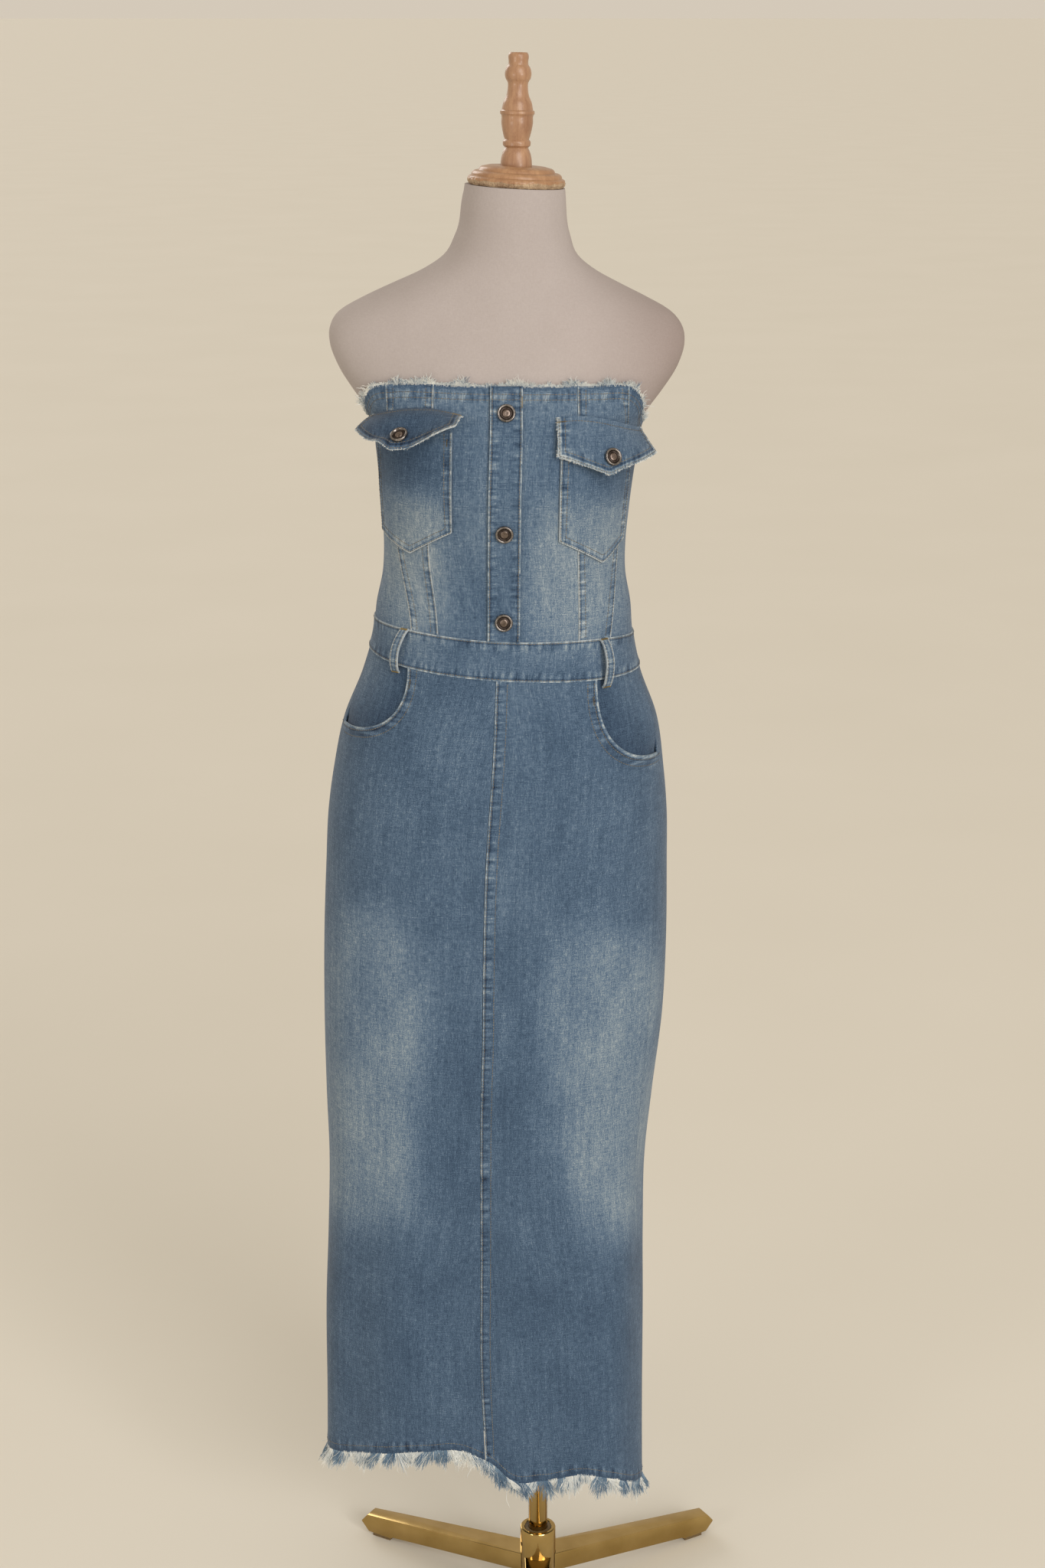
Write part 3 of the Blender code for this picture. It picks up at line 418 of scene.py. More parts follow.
def wash_and_shade_at(points):
    """0 is the plain washed blue, and some of the dark spots are painted shade. The palest spot wins where
    spots meet, and so does the darkest.
    """
    x, y, z = points[..., 0], points[..., 1], points[..., 2]
    palest, darkest = np.zeros_like(x), np.zeros_like(x)
    for spot in FADES_AND_PAINTED_SHADE:
        sideways = np.abs((x - spot.x) / spot.half_width) ** SPOT_SQUARENESS
        upwards = np.abs((z - spot.z) / spot.half_height) ** SPOT_SQUARENESS
        reach = (sideways + upwards) ** (1 / SPOT_SQUARENESS)
        t = np.clip((reach - 1 + spot.soft) / (2 * spot.soft), 0.0, 1.0)
        amount = spot.strength * (1 - t * t * (3 - 2 * t))
        palest, darkest = np.maximum(palest, amount), np.minimum(darkest, amount)
    in_front = np.clip((STAND_Y + 0.01 - y) / 0.03, 0.0, 1.0)
    seat, knees = np.exp(-(((z - 0.93) / 0.09) ** 2)), np.exp(-(((z - 0.62) / 0.16) ** 2))
    return (palest + darkest) * in_front + (0.35 * seat + 0.30 * knees - 0.12) * (1 - in_front)


print(len(FADES_AND_PAINTED_SHADE), "faded and darker places on the front")


# %% Helpers: from a bmesh to a finished piece
def show_mesh(name, bm, *materials):
    mesh = bpy.data.meshes.new(name)
    bm.to_mesh(mesh)
    bm.free()
    for material in materials:
        mesh.materials.append(material)
    item = bpy.data.objects.new(name, mesh)
    bpy.context.scene.collection.objects.link(item)
    return item


def cut_with(item, cutter):
    boolean = item.modifiers.new("cut", "BOOLEAN")
    boolean.operation, boolean.object = "DIFFERENCE", cutter


def finish_piece(item, node=None, sharp=50.0):
    """Applies the modifiers, sets sharp edges, hangs the piece on the root body, and hides the imported node
    that it stands for, if any.
    """
    ready = item.evaluated_get(bpy.context.evaluated_depsgraph_get())
    mesh = bpy.data.meshes.new_from_object(ready)
    name = item.name
    bpy.data.objects.remove(item)
    mesh.name = name
    mesh.shade_smooth()
    mesh.set_sharp_from_angle(angle=math.radians(sharp))
    done = bpy.data.objects.new(name, mesh)
    bpy.context.scene.collection.objects.link(done)
    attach(done, "root")
    if node:
        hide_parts(node)
    return done


def run_along(points, axis=0):
    """How far each point of a line or a grid is along it, from its first one."""
    steps = np.linalg.norm(np.diff(points, axis=axis), axis=-1)
    first = np.zeros_like(np.take(steps, [0], axis=axis))
    return np.cumsum(np.concatenate([first, steps], axis=axis), axis=axis)


# %% Lay a piece
Cloth = namedtuple("Cloth", "item face normals across along wall held rests_on")
laid = {}  # every cloth piece, by the name of the node that it stands for
SIDES = ("left", "right")
FAR, RIDGE_WIDTH = 1.0, 0.006
ROW_PUCKER = 0.0035  # a row of stitching puckers like a fold that is so far away
# painted shade along a curled raw edge: how dark it is, and over what share of the way to its stitches
EDGE_SHADE, EDGE_SHADE_SHARE = 0.45, 0.6  # how much bluer a raw edge is, over this share of the way to its stitches


def lay_cloth(node, place, size, folds="", wall=WALL, tone=0.0, lift=0.0005, puckered=None, near=None,
              cutter=None, held="hung", rests_on="form_torso", rim=2, worn=0.0):
    """Lays a grid by place(u, v), which gives points on the cloth's inner face, and finishes the piece.

    folds names its folded edges, and worn is how much wider than a plain fold's their pale rim is. puckered
    is a row of stitching along a raw edge, as (edge, distance), near adds a folded edge of another shape,
    and rim is the rim's material: 2 for a raw edge, 0 for a turned one.
    """
    columns, rows = size
    bm = bmesh.new()
    bmesh.ops.create_grid(bm, x_segments=columns, y_segments=rows, size=0.5)
    bm.verts.ensure_lookup_table()
    flat = np.array([vertex.co[:2] for vertex in bm.verts]) + 0.5
    order = np.lexsort((flat[:, 0].round(5), flat[:, 1].round(5)))
    face = place(flat[order, 0], flat[order, 1]).reshape(rows + 1, columns + 1, 3)
    normals = unit(np.cross(np.gradient(face, axis=1), np.gradient(face, axis=0)))

    across, along = run_along(face, 1), run_along(face)
    ways = {"left": across, "right": across[:, -1:] - across, "foot": along, "top": along[-1:] - along}
    far = np.full(across.shape, FAR)
    beside = np.minimum.reduce([far] + [ways[side] for side in SIDES if side in folds])
    above = np.minimum.reduce([far] + [ways[side] for side in ("foot", "top") if side in folds])
    if near is not None:
        beside = np.minimum(beside, near(face))
    wash_and_shade = 0.0
    if puckered:
        from_edge, inset = ways[puckered[0]], puckered[1]
        above = np.minimum(above, np.abs(from_edge - inset) + ROW_PUCKER)
        # painted shade along the curled raw edge, fading out towards the stitches
        wash_and_shade = -EDGE_SHADE * np.exp(-((from_edge / (EDGE_SHADE_SHARE * inset)) ** 2))
    raised = lift * np.exp(-((np.minimum(beside, above) / RIDGE_WIDTH) ** 2))
    face = face + normals * raised[..., None]
    for vertex, point in zip((bm.verts[i] for i in order), face.reshape(-1, 3)):
        vertex.co = point
    wash_and_shade = wash_and_shade_at(face) + (tone(face) if callable(tone) else tone) + wash_and_shade

    maps = {
        "weave": (across - across[:, columns // 2 : columns // 2 + 1], along - along[-1] + face[-1, :, 2]),
        "folds": (beside - worn, above - worn), "wash_and_shade": (wash_and_shade, wash_and_shade * 0),
    }
    item = show_mesh(f"{node}_cloth", bm, washed_denim, denim_reverse, raw_edge)
    corners = np.empty(len(item.data.loops), dtype=int)
    item.data.loops.foreach_get("vertex_index", corners)
    for map_name, (first, second) in maps.items():
        values = np.empty((len(order), 2))
        values[order] = np.stack([first.ravel(), second.ravel()], axis=-1)
        item.data.uv_layers.new(name=map_name).data.foreach_set("uv", values[corners].ravel())
    solidify = item.modifiers.new("wall", "SOLIDIFY")
    solidify.thickness, solidify.offset = wall, 1.0
    solidify.material_offset, solidify.material_offset_rim = 1, rim
    if cutter:
        cut_with(item, cutter)
    item = finish_piece(item, node)
    laid[node] = Cloth(item, face, normals, across, along, wall, held, rests_on)
    print(f"{node}: {across.max() * 1000:.0f} x {along.max() * 1000:.0f} mm, {len(item.data.polygons)} faces")


def on_face(place, out=-WALL):
    """Turns a patch of turns and heights into points on the face, moved out."""
    return lambda u, v: skin(*place(u, v), out)

# %% [markdown]
# ## Bodice
#
# The bodice is cut as seven panels: a side, a princess and a centre panel on each half of the front,
# and a back. The princess seams are felled and stitched, so one edge of each shows as a worn ridge.
# The top is left raw above two rows of stitching. All seven come from one table, because a panel is
# no more than the stretch of the face between two seams.

# %% Bodice panels
TOP_ROW = ("top", 0.0105)  # midway between the two rows of stitching
BODICE_SEAM = [seam(BODICE_SEAMS, i) for i in range(5)]

BODICE_PANELS = (  # name, left edge, right edge, columns, folded edges
    ("side_left", left_side, BODICE_SEAM[0], 34, ""),
    ("princess_left", BODICE_SEAM[0], BODICE_SEAM[1], 18, "left right"),
    ("front_left", BODICE_SEAM[1], BODICE_SEAM[2], 30, ""),
    ("front_right", BODICE_SEAM[2], BODICE_SEAM[3], 30, ""),
    ("princess_right", BODICE_SEAM[3], BODICE_SEAM[4], 18, "left right"),
    ("side_right", BODICE_SEAM[4], right_side, 34, ""),
    ("back", right_side, left_side_again, 110, ""),
)

for name, left, right, columns, folds in BODICE_PANELS:
    lay_cloth(f"bodice_{name}", on_face(patch(left, right, waist_seam, top_edge)), (columns, 84), folds,
              puckered=TOP_ROW, held="stretched", tone=0.05)

# %% [markdown]
# ## Placket and waistband
#
# Both are strips folded lengthwise and stitched along both edges, two layers thick. They pucker the
# most, because the thread shrinks more than the cloth in the wash. They are laid like the panels, the
# placket one layer further out.

# %% Placket and waistband
placket_edges = [seam(BODICE_SEAMS, 2, way) for way in (-PLACKET_HALF_WIDTH, PLACKET_HALF_WIDTH)]
lay_cloth("placket", on_face(patch(*placket_edges, waist_seam, top_edge), OVERLAY), (16, 120), "left right",
          DOUBLE_WALL, -0.05, puckered=TOP_ROW, held="laid", rests_on="bodice_front_left")
WAISTBANDS = (("front", left_side, right_side, 150), ("back", right_side, left_side_again, 170))
for name, left, right, columns in WAISTBANDS:
    band = on_face(patch(left, right, band_seam, waist_seam))
    lay_cloth(f"waistband_{name}", band, (columns, 20), "foot top", DOUBLE_WALL, 0.08, held="stretched")

# %% [markdown]
# ## Chest pockets and flaps
#
# Each pocket is a patch whose four edges are turned in, so it has a worn ridge all round. The flaps have
# curled up in the wash. A bend modifier would curl them round one axis only, so each point of a flap is
# reached by walking down from its stitched hinge in short steps, with the angle changing from the hinge
# to the free edge, as it does in a bent strip.

# %% Chest pockets
Pocket = namedtuple(
    "Pocket", "left_top left_foot right_top right_foot point top foot_left foot_right foot_point")
CHEST_POCKETS = {  # ways sideways, then heights
    "left": Pocket(-0.1300, -0.1225, -0.0540, -0.0514, -0.0938, 1.374, 1.263, 1.274, 1.247),
    "right": Pocket(0.0530, 0.0542, 0.1255, 0.1182, 0.0985, 1.366, 1.264, 1.256, 1.236),
}

def pocket_patch(shape):
    def edge(top_way, foot_way):
        ends = (shape.foot_point, shape.top)
        return lambda height: front_turn(np.interp(height, ends, (foot_way, top_way)), height)

    ways = (shape.left_foot, shape.point, shape.right_foot)
    heights = (shape.foot_left, shape.foot_point, shape.foot_right)
    turns = [float(front_turn(way, height)) for way, height in zip(ways, heights)]
    return patch(edge(shape.left_top, shape.left_foot), edge(shape.right_top, shape.right_foot),
                 lambda turn: np.interp(turn, turns, heights), lambda turn: shape.top + turn * 0)


for side, shape in CHEST_POCKETS.items():
    lay_cloth(f"chest_pocket_{side}", on_face(pocket_patch(shape), OVERLAY + GAP), (34, 48), "left right foot",
              held="laid", rests_on=f"bodice_front_{side}", tone=0.05, worn=0.0005)

# %% Pocket flaps
Flap = namedtuple(
    "Flap", "start end start_height crown_height end_height start_drop point_drop end_drop point_at")
FLAPS = {
    "left": Flap(-0.1330, -0.0455, 1.3850, 1.3955, 1.3890, 0.0230, 0.0560, 0.0280, 0.36),
    "right": Flap(0.0490, 0.1325, 1.3880, 1.3865, 1.3700, 0.0380, 0.0550, 0.0290, 0.58),
}
FLAP_SWING = {  # across the flap, angle out of the bodice at the hinge and at the free edge, in degrees
    "left": ((0.0, 94.0, 80.0), (0.5, 62.0, 18.0), (1.0, 76.0, 66.0)),
    "right": ((0.0, 5.0, 6.0), (0.5, 14.0, 18.0), (1.0, 30.0, 50.0)),
}
FLAP_LIFT, FLAP_RISE, FLAP_STEPS, FLAP_WALL = 0.00092, 0.010, 8, 0.0016


def flap_place(side, u, reach, above=0.0):
    """Places on a flap's underside, a share u across and a share reach down from its hinge."""
    flap = FLAPS[side]
    bend = 4 * u * (1 - u)
    hinge = flap.start_height + (flap.end_height - flap.start_height) * u
    hinge = hinge + (flap.crown_height - (flap.start_height + flap.end_height) / 2) * bend
    way = flap.start + (flap.end - flap.start) * u
    to_point = np.where(u < flap.point_at, u / flap.point_at, (1 - u) / (1 - flap.point_at))
    corner = np.where(u < flap.point_at, flap.start_drop, flap.end_drop)
    length = corner + (flap.point_drop - corner) * to_point
    hinge_angle, edge_angle = np.moveaxis(smooth_curve(FLAP_SWING[side])(u), -1, 0)
    step = length * reach / FLAP_STEPS
    drop, out = 0.0, FLAP_LIFT
    for index in range(FLAP_STEPS):
        share = (index + 0.5) / FLAP_STEPS * reach
        angle = np.radians(hinge_angle + (edge_angle - hinge_angle) * share)
        drop, out = drop + step * np.cos(angle), out + step * np.sin(angle)
    over_pocket = np.minimum(length * reach / FLAP_RISE, 1.0) * (WALL + OVERLAY + 2 * GAP)
    round_the_side = 1 - u if side == "left" else u
    hinge_turn, straight_down = front_turn(way, hinge), front_turn(way, hinge - drop)
    turn = straight_down + (hinge_turn - straight_down) * round_the_side
    return skin(turn, hinge - drop, out + over_pocket + above)


for side, tone in (("left", -0.62), ("right", 0.14)):
    lay_cloth(f"pocket_flap_{side}", lambda u, v: flap_place(side, u, 1 - v), (44, 24), "left right foot",
              FLAP_WALL, tone, held="hung", rests_on=f"bodice_front_{side}", worn=0.0022)

# %% [markdown]
# ## Skirt
#
# The skirt hangs as two fronts and a back. The right front laps over the left with a folded, stitched
# edge. The hip pockets' mouths are scooped out of the fronts with a Boolean, which needs one closed
# cutter each and leaves the weave as it was. A facing shows behind each mouth.

# %% Hip pockets' mouths and facings
Scoop = namedtuple("Scoop", "middle_way top reach depth")
SCOOPS = {"left": Scoop(-0.1680, 1.1290, 0.0715, 0.0705), "right": Scoop(0.1700, 1.1150, 0.0715, 0.0870)}
SCOOP_SQUARENESS, SCOOP_SIZE, SCOOP_RIM, FACING_MARGIN = 2.3, 0.075, 0.0016, 0.016


def scoop_outline(side, grow=0.0, steps=36):
    """Ways and heights along a mouth's quarter oval, grown outwards, from the waistband to the side."""
    scoop, angle = SCOOPS[side], np.linspace(0.0, math.pi / 2, steps + 1)
    inward, power = (1 if side == "left" else -1), 2 / SCOOP_SQUARENESS
    way = scoop.middle_way + inward * (scoop.reach + grow) * np.cos(angle) ** power
    return way, scoop.top - (scoop.depth + grow) * np.sin(angle) ** power


def from_scoop(side):
    """How far points are from a mouth's worn rim, below 0 on the rim and inside the mouth."""
    scoop, inward = SCOOPS[side], 1 if side == "left" else -1

    def distance(points):
        way = points[..., 0] - STAND_X - section_at(scoop.top)[0]
        across = np.maximum((way - scoop.middle_way) * inward, 0.0) / scoop.reach
        down = np.maximum(scoop.top - points[..., 2], 0.0) / scoop.depth
        share = (across**SCOOP_SQUARENESS + down**SCOOP_SQUARENESS) ** (1 / SCOOP_SQUARENESS)
        return (share - 1) * SCOOP_SIZE - SCOOP_RIM

    return distance

def plate(outline, start, depth):
    """A flat outline of (x, z) corners at y = start, extruded backwards."""
    bm = bmesh.new()
    face = bm.faces.new([bm.verts.new((x, start, z)) for x, z in outline])
    grown = bmesh.ops.extrude_face_region(bm, geom=[face])
    moved = [item for item in grown["geom"] if isinstance(item, bmesh.types.BMVert)]
    bmesh.ops.translate(bm, verts=moved, vec=(0.0, depth, 0.0))
    bmesh.ops.recalc_face_normals(bm, faces=bm.faces)
    return bm


CUTTER_Y, CUTTER_DEPTH, CUTTER_TOP, CUTTER_SIDE = -0.14, 0.195, 1.20, {"left": -0.30, "right": 0.25}


def scoop_cutter(side):
    """A closed block in the shape of a mouth, which goes past the skirt's front, side and top."""
    ways, heights = scoop_outline(side)
    middle, beyond = section_at(SCOOPS[side].top)[0] + STAND_X, CUTTER_SIDE[side]
    outline = [(way + middle, height) for way, height in zip(ways, heights)]
    outline += [(beyond, heights[-1]), (beyond, CUTTER_TOP), (outline[0][0], CUTTER_TOP)]
    return show_mesh(f"mouth_{side}", plate(outline, CUTTER_Y, CUTTER_DEPTH))


def facing_place(side):
    """The facing lies under the front, and comes up flush with the back's edge along the side seam."""
    scoop, deep = SCOOPS[side], -2 * WALL - OVERLAY - GAP
    reach, lowest = scoop.reach + FACING_MARGIN, scoop.top - scoop.depth
    inner = lambda height: front_turn(scoop.middle_way + (reach if side == "left" else -reach), height)
    edges = (left_side, inner) if side == "left" else (inner, right_side)
    under = patch(*edges, lambda turn: lowest - FACING_MARGIN + turn * 0, band_seam)

    def place(u, v):
        turn, height = under(u, v)
        from_side = u if side == "left" else 1 - u
        flush = np.clip((height - lowest - 0.003) / 0.012, 0, 1) * np.clip(1 - from_side / 0.3, 0, 1)
        return skin(turn, height, deep - (deep + WALL) * flush)

    return place


def in_the_shade(side):
    """Behind its mouth the facing is paler, and painted shade darkens it along the rim, under the front's
    edge.
    """
    return lambda points: 0.18 - 0.70 * np.exp(-((from_scoop(side)(points) / 0.024) ** 2))


for side in SCOOPS:
    lay_cloth(f"hip_pocket_facing_{side}", facing_place(side), (30, 34), tone=in_the_shade(side),
              held="laid", rim=0)

# %% Skirt panels
HEM_ROW = 0.0090
skirt_seam = seam(SKIRT_SEAM)
SKIRT_FRONTS = (("left", left_side, skirt_seam, ""), ("right", skirt_seam, right_side, "left"))
for side, left, right, folds in SKIRT_FRONTS:
    cutter = scoop_cutter(side)
    lay_cloth(f"skirt_front_{side}", on_face(patch(left, right, hem, band_seam)), (56, 250), folds,
              puckered=("foot", HEM_ROW), near=from_scoop(side), cutter=cutter, lift=0.0008, rim=0)
    bpy.data.objects.remove(cutter)
lay_cloth("skirt_back", on_face(patch(right_side, left_side_again, hem, band_seam)), (110, 220),
          puckered=("foot", HEM_ROW), rim=0)

# %% [markdown]
# ## Belt loops
#
# Two narrow folded strips, stitched down at both ends, stand off the waistband in an arch. They are laid
# like all the cloth, and only the distance from the face rises and falls along them.

# %% Belt loops
Loop = namedtuple("Loop", "top_way foot_way top foot")
BELT_LOOPS = {"left": Loop(-0.0985, -0.1075, 1.1665, 1.1235), "right": Loop(0.1020, 0.1070, 1.1560, 1.1085)}
LOOP_WIDTH, LOOP_BOW, LOOP_ROUNDNESS = 0.0090, 0.0095, 0.6

def loop_place(loop):
    def place(u, v):
        height = loop.foot + (loop.top - loop.foot) * v
        middle = front_turn(loop.foot_way + (loop.top_way - loop.foot_way) * v, height)
        step = 0.002
        crossed = face_point(middle + step, height) - face_point(middle - step, height)
        per_turn = np.linalg.norm(crossed, axis=-1) / (2 * step)
        out = GAP + (DOUBLE_WALL - WALL) * v + LOOP_BOW * np.sin(math.pi * np.clip(v, 0, 1)) ** LOOP_ROUNDNESS
        return skin(middle + (u - 0.5) * LOOP_WIDTH / per_turn, height, out)

    return place


for side, loop in BELT_LOOPS.items():
    lay_cloth(f"belt_loop_{side}", loop_place(loop), (6, 48), "left right", DOUBLE_WALL, 0.50, lift=0.0002,
              held="hung", rests_on="waistband_front")

# %% [markdown]
# ## Threads: one curve object, many strands
#
# Stitches, frayed ends and fringe are all short round strands. Hair would draw them too, but it isn't a
# mesh that can be handed on. A curve with a bevel makes a strand from a line of points, and its radius
# can shrink towards the tip. Hundreds of lines in one curve object become one mesh, with four sides to
# a strand, which is all that a half-millimetre thread needs.

# %% Helpers: strands and lines
Strand = namedtuple("Strand", "points radii material")
chance = random.Random(7)


def make_strands(name, strands, radius, materials, node=None):
    curve = bpy.data.curves.new(name, "CURVE")
    curve.dimensions = "3D"
    curve.bevel_depth, curve.bevel_resolution, curve.use_fill_caps = radius, 0, True
    for material in materials:
        curve.materials.append(material)
    for strand in strands:
        spline = curve.splines.new("POLY")
        spline.points.add(len(strand.points) - 1)
        spline.points.foreach_set("co", np.c_[strand.points, np.ones(len(strand.points))].ravel())
        spline.points.foreach_set("radius", strand.radii)
        spline.material_index = strand.material
    item = bpy.data.objects.new(name, curve)
    bpy.context.scene.collection.objects.link(item)
    item = finish_piece(item, node, 80.0)
    print(f"{name}: {len(strands)} strands, {len(item.data.polygons)} faces")


def at_places(places, run, values):
    """Points read off a line at places along its run."""
    return np.stack([np.interp(places, run, values[:, axis]) for axis in range(3)], axis=-1)


def line_on(node, side, inset, clear=0.0001):
    """Points on a cloth's outer face along a line that runs a distance in from one of its edges."""
    cloth = laid[node]
    outer = cloth.face + cloth.normals * (cloth.wall + clear)
    runs, grid = (cloth.across, outer) if side in SIDES else (cloth.along.T, outer.transpose(1, 0, 2))
    line = []
    for run, points in zip(runs, grid):
        at = inset if side in ("left", "foot") else run[-1] - inset
        line.append(at_places(at, run, points))
    return np.array(line)


# %% Helpers: stitches
STITCH, SHOWN, STITCH_WOBBLE = 0.0031, 0.76, 0.00012  # its length, the share above the cloth, its looseness
STITCH_RADIUS, TACK_RADIUS, TACK_STEP = 0.00042, 0.00030, 0.00045


def stitches(line, start, end):
    """Stitches along a line, without so much of its two ends: three parts of each length show."""
    run = run_along(line)
    count = max(2, int((run[-1] - start - end) / STITCH) + 1)
    points = at_places(np.linspace(start, run[-1] - end, count), run, line)
    made = []
    for first, second in zip(points, points[1:]):
        wobble = np.array([chance.uniform(-1, 1) for _ in range(3)]) * STITCH_WOBBLE
        places = [first + (second - first) * share + wobble for share in (0.0, 0.18, SHOWN - 0.18, SHOWN)]
        made.append(Strand(places, (0.35, 1.0, 1.0, 0.35), 0))
    return made


def sew(node, edge, inset, start=0.001, end=0.001):
    return stitches(line_on(node, edge, inset), start, end)


def bartack(middle, along, across, length, width):
    """A dense zigzag that locks the end of a seam."""
    along, across = unit(np.array(along)), unit(np.array(across))
    count = int(length / TACK_STEP)
    zigzag = [middle + along * (i / count - 0.5) * length + across * (0.5 if i % 2 else -0.5) * width
              for i in range(count + 1)]
    return Strand(zigzag, [1.0] * len(zigzag), 0)


# %% Topstitching of the bodice
TOP_ROWS, FELLED_ROWS, FLAP_ROWS = (0.0080, 0.0135), (0.0015, 0.0080), (0.0015, 0.0072)
HINGE_ROW, PLACKET_ROW, LOOP_ROW = 0.0050, 0.0020, 0.0013
rows = []
for name, *_ in BODICE_PANELS:
    for inset in TOP_ROWS:
        rows += sew(f"bodice_{name}", "top", inset, 0.0008, 0.0008)
for side in SIDES:
    for inset in FELLED_ROWS:
        for edge in SIDES:
            rows += sew(f"bodice_princess_{side}", edge, inset, 0.002, 0.003)
            rows += sew(f"chest_pocket_{side}", edge, inset, inset)
        rows += sew(f"chest_pocket_{side}", "foot", inset, inset, inset)
    for inset in FLAP_ROWS:
        for edge in SIDES:
            rows += sew(f"pocket_flap_{side}", edge, inset, inset)
        rows += sew(f"pocket_flap_{side}", "foot", inset, inset, inset)
    rows += sew(f"pocket_flap_{side}", "top", HINGE_ROW, 0.0015, 0.0015)
for edge in SIDES:
    rows += sew("placket", edge, PLACKET_ROW)
    for side in SIDES:
        rows += sew(f"belt_loop_{side}", edge, LOOP_ROW, 0.0015, 0.0015)
for inset in TOP_ROWS:
    rows += sew("placket", "top", inset)
make_strands("bodice_topstitching", rows, STITCH_RADIUS, [taupe_thread])

# %% Topstitching of the skirt
BAND_ROW, SEAM_ROWS, SCOOP_ROWS = 0.0018, (0.0018, 0.0115), (0.0034, 0.0098)
rows = []
for name in ("waistband_front", "waistband_back"):
    for edge in ("foot", "top"):
        rows += sew(name, edge, BAND_ROW)
for inset in SEAM_ROWS:
    rows += sew("skirt_front_right", "left", inset, 0.012, 0.002)
SKIRT_PIECES = ("skirt_front_left", "skirt_front_right", "skirt_back")
for name in SKIRT_PIECES:
    rows += sew(name, "foot", HEM_ROW)
for side in SCOOPS:
    for grow in SCOOP_ROWS:
        ways, heights = scoop_outline(side, grow)
        on_ridge = 0.0002 + 0.0009 * math.exp(-((grow / 0.0065) ** 2))  # the mouth's folded rim stands up
        rows += stitches(skin(front_turn(ways, heights), heights, on_ridge), 0.002, 0.004)
make_strands("skirt_topstitching", rows, STITCH_RADIUS, [taupe_thread])

# %% Bartacks
tacks = []
for side in BELT_LOOPS:
    face, normals = laid[f"belt_loop_{side}"].face, laid[f"belt_loop_{side}"].normals
    for row in (1, -2):
        middle = face[row, 3] + normals[row, 3] * (DOUBLE_WALL + 0.0003)
        over, up = face[row, 6] - face[row, 0], face[row, 3] - face[row - 1, 3]
        tacks.append(bartack(middle, over, up, 0.0085, 0.0020))
for side, edge in (("left", "right"), ("right", "left")):
    line = line_on(f"pocket_flap_{side}", "top", HINGE_ROW, 0.0003)
    line = line[::-1] if edge == "right" else line
    tacks.append(bartack(line[2], line[4] - line[1], (0, 0, 1), 0.0090, 0.0010))
    line = line_on(f"chest_pocket_{side}", edge, 0.0050, 0.0003)
    tacks.append(bartack(line[-6], line[-6] - line[-9], (1, 0, 0), 0.0070, 0.0010))
line = line_on("placket", "right", 0.0006, 0.0004)
tacks.append(bartack(line[-8], line[-8] - line[-12], (1, 0, 0), 0.0110, 0.0010))
for side in SCOOPS:
    ways, heights = scoop_outline(side, 0.0045)
    points = skin(front_turn(ways, heights), heights, 0.0006)
    tacks.append(bartack(points[4], points[3] - points[5], (1, 0, 0), 0.0085, 0.0014))
make_strands("bartacks", tacks, TACK_RADIUS, [tan_thread])

# %% [markdown]
# ## Frayed top and fringed hem
#
# Above the top stitching the cross threads have worked loose, so short cream and blue ends stand up and
# tangle. Below the hem they have been pulled out for 2 cm, and the upright threads that are left cling
# together in tufts, some white and some blue. Each end starts inside the cloth's edge and wanders a
# little at every step. They are drawn 0.4 to 0.5 mm thick, the width of a yarn that has opened.

COTTONS = [cream_cotton, blue_cotton]
CREAM, BLUE = 0, 1  # their places in that list


def along_edge(node, side, spacing):
    """Places on an edge, each with the way off the edge and the way out of the cloth."""
    face, normals = laid[node].face, laid[node].normals
    if side in SIDES:
        face, normals = face.transpose(1, 0, 2), normals.transpose(1, 0, 2)
    end, inner = (-1, -3) if side in ("top", "right") else (0, 2)
    line, away, run = face[end], unit(face[end] - face[inner]), run_along(face[end])
    places = np.arange(spacing / 2, run[-1], spacing)
    return [at_places(places, run, values) for values in (line, away, normals[end])]


def loose_end(base, away, out, length, curl, lean=0.0, parts=4, material=CREAM):
    """A thread that leaves the edge, leans along it, and turns a little at every step."""
    beside = np.cross(out, away)
    points, way = [base - away * 0.0015, base], away + beside * lean
    for part in range(parts):
        way = unit(way + beside * chance.gauss(0, curl) + out * chance.gauss(0.03, curl * 0.5))
        points.append(points[-1] + way * length / parts)
    return Strand(points, [1.0] * (parts + 1) + [0.45], material)


